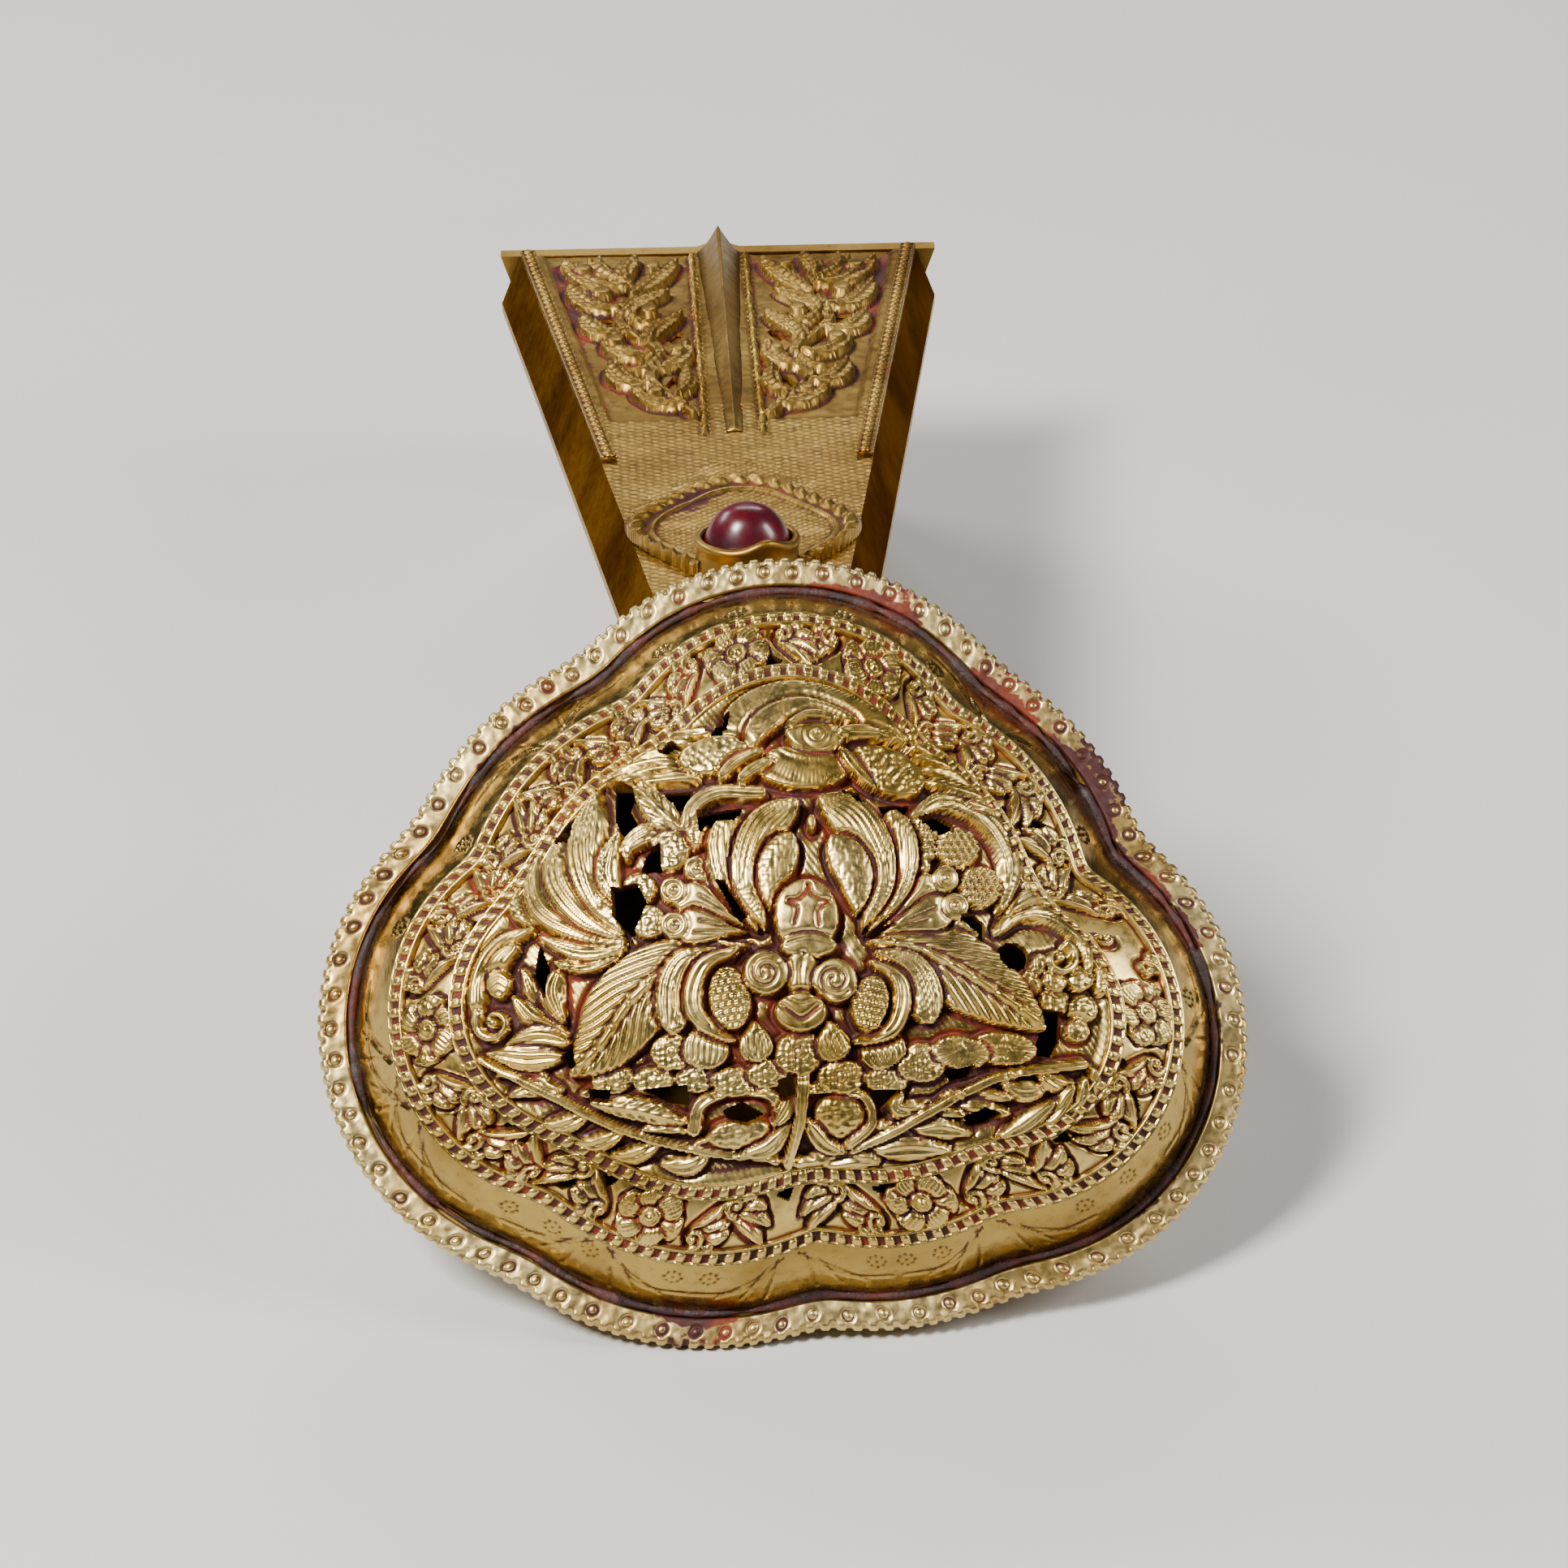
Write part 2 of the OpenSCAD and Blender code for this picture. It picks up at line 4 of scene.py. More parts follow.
import bpy
import numpy as np
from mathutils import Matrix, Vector


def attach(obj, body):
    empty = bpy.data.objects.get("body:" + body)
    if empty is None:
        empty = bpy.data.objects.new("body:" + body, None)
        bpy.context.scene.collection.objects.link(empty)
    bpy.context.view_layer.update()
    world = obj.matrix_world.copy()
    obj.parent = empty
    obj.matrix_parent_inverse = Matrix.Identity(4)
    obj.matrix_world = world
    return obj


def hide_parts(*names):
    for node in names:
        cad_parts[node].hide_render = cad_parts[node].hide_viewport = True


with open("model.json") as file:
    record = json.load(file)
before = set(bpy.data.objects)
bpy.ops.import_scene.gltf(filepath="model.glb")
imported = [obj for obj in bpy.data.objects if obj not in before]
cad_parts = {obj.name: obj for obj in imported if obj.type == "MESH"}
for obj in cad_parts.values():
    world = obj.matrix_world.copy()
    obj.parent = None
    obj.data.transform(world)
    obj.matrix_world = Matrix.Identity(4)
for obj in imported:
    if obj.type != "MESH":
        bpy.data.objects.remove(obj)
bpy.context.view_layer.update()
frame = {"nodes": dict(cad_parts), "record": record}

# Hand censer: lobed gilt head with a pierced cover, garnet at the neck, flared tail handle.
# Head pieces use (x across, u up the face, n out of the face), handle pieces use (x across,
# t along the handle, h off its top), all in millimetres, with n = 0 on the rim's front.

MM = 0.001
PI = math.pi
LEAN = math.radians(43.5)
SLOPE = math.radians(7.0)
ACROSS = np.array([1.0, 0.0, 0.0])
UP = np.array([0.0, math.sin(LEAN), math.cos(LEAN)])
OUT = np.array([0.0, -math.cos(LEAN), math.sin(LEAN)])
ALONG = np.array([0.0, math.cos(SLOPE), -math.sin(SLOPE)])
OFF = np.array([0.0, math.sin(SLOPE), math.cos(SLOPE)])

# The hinge axis lies 1 mm right, 32.2 mm up and 3 mm behind the middle of the face.
PIN = np.array(frame["record"]["behaviour"]["joints"][0]["pos_m"]) / MM
PIN_RIGHT, PIN_UP, PIN_BACK = 1.0, 32.2, 3.0
HEAD = PIN - PIN_RIGHT * ACROSS - PIN_UP * UP + PIN_BACK * OUT
# The handle starts 32.6 mm up the face and 7.6 mm behind it, 1.5 mm left of the middle.
ROOT_LEFT, ROOT_UP, ROOT_BACK = 1.5, 32.6, 7.6
HANDLE = HEAD + np.array([-ROOT_LEFT, 0, 0]) + ROOT_UP * UP - ROOT_BACK * OUT

# Each lobe's centre (x, u) and radius; the seven together make the head's outline.
LOBES = np.array([
    [1, 11.5, 15.5], [-5.5, 0, 21], [6.5, 2, 18.7], [-17, -6.2, 15.5], [18, -8.4, 14.7],
    [-6.5, -7.5, 19.5], [7.5, -7, 18.9],
])
MIDDLE = np.array([0.0, -1.0])
# How far each line of the head lies outside the outer bead row, and its height.
WALL_FOOT, RIM_IN, RIM_OUT, INNER_ROW = 3.8, 4.5, 7.0, -5.2
WALL_H, ROW_H = 6.3, 9.3
FRIEZE_HALF, WALL_RUN = 2.95, 7.4
OUTER_BLEND, INNER_BLEND = 0.35, 1.5
DOME_SHEET, COVER_SHEET, TOP_SHEET = 0.95, 0.8, 0.9
BEAD_PITCH, PUNCH_PITCH, TOOTH_PITCH = 1.35, 2.75, 1.25
HANDLE_LEN, ROOT_HALF, END_HALF, BEVEL = 86.0, 10.5, 22.25, 2.0
# Along the handle: where the borders, keel and leafy panels start, and the gem's middle.
BORDER_START, KEEL_START, PANEL_START, GEM_AT = 30.7, 37.5, 40.5, 5


# ---- Places ----

def on_head(x, u, n):
    """Head point in metres: HEAD + x ACROSS + u UP + n OUT."""
    x, u, n = np.broadcast_arrays(x, u, n)
    return (HEAD + x[..., None] * ACROSS + u[..., None] * UP + n[..., None] * OUT) * MM


def on_handle(x, t, h):
    """Handle point in metres: HANDLE + x ACROSS + t ALONG + h OFF."""
    x, t, h = np.broadcast_arrays(x, t, h)
    return (HANDLE + x[..., None] * ACROSS + t[..., None] * ALONG + h[..., None] * OFF) * MM


def lobe_gap(x, u, blend=OUTER_BLEND):
    """Distance outside the outer bead row: the soft minimum, over the lobes, of the
    distance to the lobe's centre less its radius."""
    gaps = [np.hypot(x - a, u - b) - r for a, b, r in LOBES]
    low = np.minimum.reduce(gaps)
    return low - blend * np.log(sum(np.exp((low - g) / blend) for g in gaps))


def ring(angle, grow, blend=OUTER_BLEND):
    """Point on the outline grown by grow, on the ray from MIDDLE at this angle: the radius
    is stepped by what lobe_gap still lacks until it fits."""
    start, steps = 24.0, 40
    reach = np.full(np.shape(angle + grow), start)
    for _ in range(steps):
        gap = lobe_gap(MIDDLE[0] + reach * np.cos(angle), MIDDLE[1] + reach * np.sin(angle),
                       blend)
        reach = reach + 0.9 * (grow - gap)
    return MIDDLE[0] + reach * np.cos(angle), MIDDLE[1] + reach * np.sin(angle)


def even_angles(count, grow):
    """Angles whose points on the grown outline are evenly spaced, and its length."""
    fine = np.linspace(0, 2 * PI, 4001)
    x, u = ring(fine, np.full(fine.shape, float(grow)))
    run = np.concatenate([[0], np.cumsum(np.hypot(np.diff(x), np.diff(u)))])
    return np.interp(np.arange(count) / count * run[-1], run, fine), run[-1]


def smooth(v):
    """3 v^2 - 2 v^3, held between 0 and 1."""
    v = np.clip(v, 0, 1)
    return v * v * (3 - 2 * v)


def wave(phase):
    """Ripple from 0 to 1: 0.5 + 0.5 cos(phase)."""
    return 0.5 + 0.5 * np.cos(phase)


def soften(a, r, wrap=False):
    """Box mean over 2 r + 1 cells each way, by running sums, twice."""
    for _ in range(2):
        for axis in (0, 1):
            mode = "wrap" if wrap and axis == 0 else "edge"
            pad = [(r + 1, r) if axis == i else (0, 0) for i in (0, 1)]
            total = np.cumsum(np.pad(a, pad, mode=mode), axis=axis)
            size = total.shape[axis]
            a = (np.take(total, np.arange(2 * r + 1, size), axis)
                 - np.take(total, np.arange(0, size - 2 * r - 1), axis)) / (2 * r + 1)
    return a


def hollows(rise, cells, depth, wrap=False):
    """How far a relief lies under its own soft mean, over depth, from -1 to 1."""
    return np.clip((soften(rise, cells, wrap) - rise) / depth, -1, 1)


def hashed(i, j, seed):
    """A fixed number from 0 to 1 for each cell (i, j)."""
    v = np.sin(i * 127.1 + j * 311.7 + seed * 74.7) * 43758.5453
    return v - np.floor(v)


def drift(x, u, size, seed=0):
    """Smooth wander from -1 to 1: cell numbers blended over cells of this size."""
    a, b = x / size, u / size
    i, j = np.floor(a), np.floor(b)
    f, g = smooth(a - i), smooth(b - j)
    low = hashed(i, j, seed) * (1 - f) + hashed(i + 1, j, seed) * f
    high = hashed(i, j + 1, seed) * (1 - f) + hashed(i + 1, j + 1, seed) * f
    return 2 * (low * (1 - g) + high * g) - 1


def pebbles(x, u, size):
    """Grain: distance to the nearest of one scattered point per cell, over the size."""
    i, j = np.floor(x / size), np.floor(u / size)
    best = np.full(np.shape(x), 9.0)
    for di in (-1, 0, 1):
        for dj in (-1, 0, 1):
            px = (i + di + 0.2 + 0.6 * hashed(i + di, j + dj, 0)) * size
            pu = (j + dj + 0.2 + 0.6 * hashed(i + di, j + dj, 3)) * size
            best = np.minimum(best, np.hypot(x - px, u - pu))
    return best / size


def crosshatch(x, t, slant, pitch, power):
    """Two sets of slanting ripples added: wave(2 pi (t +- slant x) / pitch)^power."""
    return (wave(2 * PI * (t + slant * x) / pitch) ** power
            + wave(2 * PI * (t - slant * x) / pitch) ** power)


def curve(points, count=56):
    """Smooth line through the points (Catmull-Rom): samples, unit directions, run."""
    p = np.array(points, float)
    p = np.vstack([2 * p[0] - p[1], p, 2 * p[-1] - p[-2]])
    v = np.linspace(0, len(p) - 3 - 1e-6, count)
    i = v.astype(int)
    f = (v - i)[:, None]
    a, b, c, d = p[i], p[i + 1], p[i + 2], p[i + 3]
    line = 0.5 * (2 * b + (c - a) * f + (2 * a - 5 * b + 4 * c - d) * f ** 2
                  + (3 * b - a - 3 * c + d) * f ** 3)
    way = np.gradient(line, axis=0)
    way /= np.linalg.norm(way, axis=1)[:, None] + 1e-9
    run = np.concatenate([[0], np.cumsum(np.linalg.norm(np.diff(line, axis=0), axis=1))])
    return line, way, run


# ---- Relief ----

DITCH_HALF, UNDERCUT, LOWEST = 0.28, 0.25, -0.75
IN_METAL = 9.0


class Relief:
    """Chased work on a sheet: h is the height over the sheet, solid is how far inside the
    metal a point lies (negative in a piercing), lac is how much residue it holds."""

    def __init__(self, x, u, ground=0.0):
        self.shape = x.shape
        self.x, self.u = x.ravel(), u.ravel()
        self.h = np.full(self.x.shape, float(ground))
        self.solid = np.full(self.x.shape, IN_METAL)
        self.lac = np.zeros(self.x.shape)

    def window(self, pts, reach):
        """Grid points within reach of the box round pts."""
        lo, hi = pts.min(0) - reach, pts.max(0) + reach
        return np.nonzero((self.x > lo[0]) & (self.x < hi[0])
                          & (self.u > lo[1]) & (self.u < hi[1]))[0]

    def pierce(self, *points):
        """Hole with this outline: the distance to the nearest side, negative inside."""
        p = np.array(points, float)
        k = self.window(p, 1.5)
        x, u = self.x[k], self.u[k]
        far = np.full(x.shape, IN_METAL)
        odd = np.zeros(x.shape, bool)
        for (ax, au), (bx, bu) in zip(p, np.roll(p, -1, 0)):
            ex, eu = bx - ax, bu - au
            f = np.clip(((x - ax) * ex + (u - au) * eu) / (ex * ex + eu * eu), 0, 1)
            far = np.minimum(far, np.hypot(x - ax - f * ex, u - au - f * eu))
            if eu:
                odd ^= ((au > u) != (bu > u)) & (x < ax + ex * (u - au) / eu)
        self.solid[k] = np.minimum(self.solid[k], np.where(odd, -far, far) - 0.1)

    def lay(self, k, inside, top, ditch, lip=0.18):
        """A motif over what is there: it climbs to top within lip of its edge, and a ditch
        ditch * exp(-(distance / DITCH_HALF)^2), no lower than LOWEST, runs round it."""
        rise = smooth(inside / lip)
        old = self.h[k]
        foot = np.minimum(old, top) - UNDERCUT
        low = np.maximum(old - ditch * np.exp(-(inside / DITCH_HALF) ** 2), LOWEST)
        self.h[k] = np.where(inside > 0, foot + (top - foot) * rise, np.minimum(old, low))
        self.solid[k] = np.maximum(self.solid[k], inside + 0.1)

    def follow(self, points, reach, count=56):
        """Grid points near a line, with distance along it and signed distance off it."""
        line, way, run = curve(points, count)
        k = self.window(line, reach)
        dx = self.x[k][:, None] - line[:, 0]
        du = self.u[k][:, None] - line[:, 1]
        j = np.argmin(dx * dx + du * du, axis=1)
        r = np.arange(len(k))
        dx, du = dx[r, j], du[r, j]
        s = run[j] + dx * way[j, 0] + du * way[j, 1]
        off = way[j, 0] * du - way[j, 1] * dx
        return k, s, off, run[-1]

    def blade(self, points, half, lift=0.5, crown=0.3, peak=0.45, blunt=0.7, slant=1.0,
              pitch=0.0, lines=0, cut=0.16, rib=0.0, knots=0.0, ditch=0.45):
        """Leaf, petal or feather on a line. Half width half * sin(pi f^a)^blunt, widest at
        peak; height lift + crown * (1 - q^3), q across. Veins every pitch mm slant back from
        the middle, lines run lengthwise, and a rib with a knot every knots mm runs down it."""
        k, s, off, length = self.follow(points, half + 0.9)
        f = np.clip(s / length, 0.0005, 0.9995)
        a = math.log(0.5) / math.log(peak)
        w = half * np.sin(PI * f ** a) ** blunt + 0.02
        past = np.maximum(np.maximum(-s, s - length), 0)
        inside = np.where(past > 0, -np.hypot(past, off), w - np.abs(off))
        q = np.clip(np.abs(off) / w, 0, 1)
        top = lift + crown * (1 - q ** 3)
        if pitch:
            v = wave(2 * PI * (s - slant * np.abs(off)) / pitch)
            top -= cut * v ** 3.5 * smooth(q * 5 if rib else 1)
        if lines:
            v = wave(PI * lines * off / w + 0.35 * np.sin(1.3 * s))
            top -= cut * v ** 3.5 * smooth(f * 5)
        if rib:
            ridge = np.exp(-(off / 0.3) ** 2)
            top += rib * ridge * (1 - 0.7 * f)
            top -= 0.8 * rib * np.exp(-((np.abs(off) - 0.48) / 0.14) ** 2)
            if knots:
                v = wave(2 * PI * s / knots)
                top -= 0.6 * rib * ridge * v ** 12
        self.lay(k, inside, top, ditch)
        return k, inside

    def boss(self, x, u, rx, ru, turn=0, lift=0.5, crown=0.4, grain=None, ditch=0.4, cut=0.14,
             size=0.5):
        """Oval mound lift + 0.6 crown * (1 - q^3), q being the distance over the oval's
        radius, with pebbles, scales, herringbone or rays cut into it."""
        k = self.window(np.array([[x, u]], float), max(rx, ru) + 1)
        c, s = math.cos(math.radians(turn)), math.sin(math.radians(turn))
        dx, du = self.x[k] - x, self.u[k] - u
        a, b = dx * c + du * s, du * c - dx * s
        q = np.hypot(a / rx, b / ru)
        inside = (1 - q) * min(rx, ru)
        top = lift + 0.6 * crown * (1 - np.clip(q, 0, 1) ** 3)
        if grain == "pebble":
            top += cut * (0.5 - pebbles(a, b, size))
        elif grain == "scale":
            row = np.floor(b / size)
            col = a / size + 0.5 * (row % 2)
            r = np.hypot(col - np.floor(col) - 0.5, (b / size - row) * 0.9)
            top += cut * (0.6 - 2 * np.exp(-((r - 0.55) / 0.13) ** 2))
        elif grain == "herring":
            v = wave(2 * PI * (b + 0.7 * np.abs(a)) / size)
            top -= cut * v ** 2
        elif grain == "rays":
            v = wave(size * np.arctan2(b, a))
            top -= cut * v ** 2 * smooth(q * 3)
        self.lay(k, inside, top, ditch)

    def dot(self, x, u, r, high=0.15, rim=0.0):
        """Round grain, or with rim a ring punch: a ring-shaped cut round a small dot."""
        k = self.window(np.array([[x, u]], float), r * 2 + 0.2)
        d = np.hypot(self.x[k] - x, self.u[k] - u)
        if rim:
            self.h[k] -= rim * np.exp(-((d - r) / (0.32 * r)) ** 2)
            self.h[k] += high * np.exp(-(d / (0.5 * r)) ** 2)
        else:
            self.h[k] += high * np.exp(-(d / r) ** 2)

    def score(self, points, wide=0.12, deep=0.2, lac=0.0):
        """Chased line: deep * exp(-(distance / wide)^2), fading at both ends."""
        k, s, off, length = self.follow(points, 3 * wide + 0.2)
        fade = smooth(np.minimum(s + 0.1, length + 0.1 - s) / 0.25)
        v = np.exp(-(off / wide) ** 2) * fade
        self.h[k] -= deep * v
        self.lac[k] = np.maximum(self.lac[k], lac * v)

    def stem(self, points, half, lift=0.45, thin=0.5, groove=0.0):
        """Rounded stalk on a line, thinning to thin of its width at the far end."""
        k, s, off, length = self.follow(points, half + 0.9, 72)
        f = np.clip(s / length, 0, 1)
        w = half * (1 - (1 - thin) * f)
        past = np.maximum(np.maximum(-s, s - length), 0)
        inside = w - np.hypot(off, past)
        q = np.clip(np.abs(off) / w, 0, 1)
        top = lift + 0.35 * half * np.sqrt(1 - q * q * 0.98)
        if groove:
            top -= groove * np.exp(-(off / (0.28 * w)) ** 2)
        self.lay(k, inside, top, ditch=0.35, lip=0.15)

    def volute(self, x, u, r, turns, start, hand, lift, half):
        """Scroll: a stalk on the spiral radius r (1 - f)^0.9 + 0.12 r, ending in an eye."""
        f = np.linspace(0, 1, 26)
        a = math.radians(start) + hand * 2 * PI * turns * f
        rad = r * (1 - f) ** 0.9 + 0.12 * r
        pts = np.stack([x + rad * np.cos(a), u + rad * np.sin(a)], 1)
        self.stem(pts, half, lift, 0.6, groove=0.08)
        eye = 0.28 * r + 0.12
        self.boss(x, u, eye, eye, lift=lift + 0.1, crown=0.2, ditch=0.1)

    def grid(self, name):
        """One of h, solid and lac, as a grid."""
        return getattr(self, name).reshape(self.shape)


# ---- Meshes ----

def make(name, verts, quads, mats, ids=None, tris=None, body="cover", slot="gilt_sheet",
         stands_for=(), **fields):
    """One closed piece from arrays, turned outwards by the sign of its volume, with an edge
    kept sharp wherever two materials meet. Fields are numbers at each vertex."""
    tris = np.zeros((0, 3), int) if tris is None else np.asarray(tris)
    quads = np.asarray(quads)
    used = np.unique(np.concatenate([quads.ravel(), tris.ravel()]))
    place = np.full(len(verts), -1)
    place[used] = np.arange(len(used))
    verts, quads, tris = verts[used], place[quads], place[tris]
    a, b, c, d = (verts[quads[:, i]] - verts.mean(0) for i in range(4))
    volume = np.einsum("ij,ij->i", np.cross(b - a, c - a), a).sum()
    volume += np.einsum("ij,ij->i", np.cross(c - a, d - a), a).sum()
    if volume < 0:
        quads, tris = quads[:, ::-1], tris[:, ::-1]
    mesh = bpy.data.meshes.new(name)
    mesh.vertices.add(len(verts))
    mesh.vertices.foreach_set("co", verts.astype(np.float32).ravel())
    mesh.loops.add(quads.size + tris.size)
    mesh.loops.foreach_set("vertex_index", np.concatenate([quads.ravel(), tris.ravel()]))
    mesh.polygons.add(len(quads) + len(tris))
    starts = np.concatenate([np.arange(len(quads)) * 4,
                             quads.size + np.arange(len(tris)) * 3])
    mesh.polygons.foreach_set("loop_start", starts)
    for m in mats:
        mesh.materials.append(m)
    if ids is not None:
        ids = np.concatenate([ids, np.zeros(len(tris), int)])
        mesh.polygons.foreach_set("material_index", ids)
    mesh.polygons.foreach_set("use_smooth", np.ones(len(quads) + len(tris), bool))
    mesh.update(calc_edges=True)
    mesh.validate()
    if ids is not None and len(np.unique(ids)) > 1:
        edge = np.zeros(len(mesh.loops), int)
        mesh.loops.foreach_get("edge_index", edge)
        each = np.concatenate([np.repeat(ids[:len(quads)], 4), np.repeat(ids[len(quads):], 3)])
        low, high = np.full(len(mesh.edges), 99), np.full(len(mesh.edges), -1)
        np.minimum.at(low, edge, each)
        np.maximum.at(high, edge, each)
        mesh.attributes.new("sharp_edge", "BOOLEAN", "EDGE").data.foreach_set(
            "value", low != high)
    for key, v in fields.items():
        v = np.asarray(v, np.float32).ravel()[used]
        mesh.attributes.new(key, "FLOAT", "POINT").data.foreach_set("value", v)
    ob = bpy.data.objects.new(name, mesh)
    bpy.context.scene.collection.objects.link(ob)
    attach(ob, body)
    if stands_for:
        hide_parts(*stands_for)


def parted(more):
    """Arrays, which become fields at the points, and the plain settings."""
    arrays = {k: v for k, v in more.items() if isinstance(v, np.ndarray)}
    return arrays, {k: v for k, v in more.items() if k not in arrays}


def shell(name, front, back, keep, mats, wrap=False, parts=1, **more):
    """Closed sheet between two like grids of points: the kept cells of the front, the same
    cells of the back turned over, and a wall wherever a kept cell has no kept neighbour."""
    m, n = front.shape[:2]
    cell = np.arange(m * n).reshape(m, n)
    nxt = np.roll(cell, -1, 0)
    rows = m if wrap else m - 1
    verts = np.concatenate([front.reshape(-1, 3), back.reshape(-1, 3)])
    fields, more = parted(more)
    fields = {k: np.concatenate([np.ravel(v)] * 2) for k, v in fields.items()}
    cuts = np.linspace(0, rows, parts + 1).astype(int)
    size = m * n
    for part in range(parts):
        on = np.zeros((rows, n - 1), bool)
        on[cuts[part]:cuts[part + 1]] = keep[cuts[part]:cuts[part + 1]]
        a, b = cell[:rows, :-1], nxt[:rows, :-1]
        c, d = nxt[:rows, 1:], cell[:rows, 1:]
        top = np.stack([a, b, c, d], -1)[on]
        sides = []
        blank = np.zeros((rows, 1), bool)
        before = np.hstack([blank, on])
        after = np.hstack([on, blank])
        p, q = cell[:rows], nxt[:rows]
        for mask, e, f in ((after & ~before, q, p), (before & ~after, p, q)):
            sides.append(np.stack([e, f, f + size, e + size], -1)[mask])
        if wrap:
            prev = np.roll(on, 1, 0)
            here, p, q = on, a, d
        else:
            flat = np.zeros((1, n - 1), bool)
            prev, here = np.vstack([flat, on]), np.vstack([on, flat])
            p, q = cell[:, :-1], cell[:, 1:]
        for mask, e, f in ((here & ~prev, p, q), (prev & ~here, q, p)):
            sides.append(np.stack([e, f, f + size, e + size], -1)[mask])
        side = np.concatenate(sides)
        quads = np.concatenate([top, top[:, ::-1] + size, side])
        ids = np.concatenate([np.zeros(len(top), int), np.full(len(top), 2),
                              np.ones(len(side), int)])
        tag = name if parts == 1 else f"{name}_{part + 1}"
        make(tag, verts, quads, mats, ids, **fields, **more)


def hoop(name, grid, mats, **more):
    """Ring with a closed section: a grid of points that wraps both ways."""
    m, n = grid.shape[:2]
    cell = np.arange(m * n).reshape(m, n)
    nxt = np.roll(cell, -1, 0)
    quads = np.stack([cell, nxt, np.roll(nxt, -1, 1), np.roll(cell, -1, 1)], -1)
    make(name, grid.reshape(-1, 3), quads.reshape(-1, 4), mats, **more)


def bar(name, grid, mats, **more):
    """Bar with a closed section: a grid that wraps across, its two ends filled by fans."""
    m, n = grid.shape[:2]
    cell = np.arange(m * n).reshape(m, n)
    a, b = cell[:-1], cell[1:]
    quads = np.stack([a, b, np.roll(b, -1, 1), np.roll(a, -1, 1)], -1).reshape(-1, 4)
    verts = np.concatenate([grid.reshape(-1, 3), grid[0].mean(0)[None], grid[-1].mean(0)[None]])
    first = np.stack([np.full(n, m * n), cell[0], np.roll(cell[0], -1)], -1)
    last = np.stack([np.full(n, m * n + 1), np.roll(cell[-1], -1), cell[-1]], -1)
    fields, more = parted(more)
    fields = {k: np.concatenate([np.ravel(v), [0.0, 0.0]]) for k, v in fields.items()}
    make(name, verts, quads, mats, tris=np.concatenate([first, last]), **fields, **more)


def normals(grid, outward, wrap=False):
    """Unit normals of a grid of points: the cross product of its two slopes."""
    pad = np.concatenate([grid[-1:], grid, grid[:1]]) if wrap else grid
    du = np.gradient(pad, axis=0)
    du = du[1:-1] if wrap else du
    nrm = np.cross(du, np.gradient(grid, axis=1))
    nrm /= np.linalg.norm(nrm, axis=-1, keepdims=True) + 1e-12
    turn = np.sign(np.sum(nrm * outward, -1).mean())
    return nrm * turn


def raised(ground, rise, thick, outward=OUT, wrap=False):
    """Front and back of a sheet: the ground plus rise, and less thick, along its normals."""
    nrm = normals(ground, outward, wrap)
    return ground + nrm * rise[..., None] * MM, ground - nrm * thick * MM


def snapped(first, second, solid, step):
    """Grid points within half a step of a piercing's edge move onto it, against the slope
    of solid. The grid's first way is first and its second way is second. Returns the points
    and which of them are in the metal."""
    flattest = 0.2
    ga = np.gradient(solid, axis=0) / np.gradient(first, axis=0)
    gb = np.gradient(solid, axis=1) / np.gradient(second, axis=1)
    steep = ga * ga + gb * gb
    close = (np.abs(solid) < 0.5 * step) & (steep > flattest)
    move = np.where(close, solid / np.maximum(steep, flattest), 0)
    return first - move * ga, second - move * gb, (solid > 0) | close


def all_four(inside, wrap=False):
    """Cells whose four corners are all in the metal."""
    nxt = np.roll(inside, -1, 0)
    both = inside & nxt
    cells = both[:, :-1] & both[:, 1:]
    return cells if wrap else cells[:-1]


# ---- Finishes ----

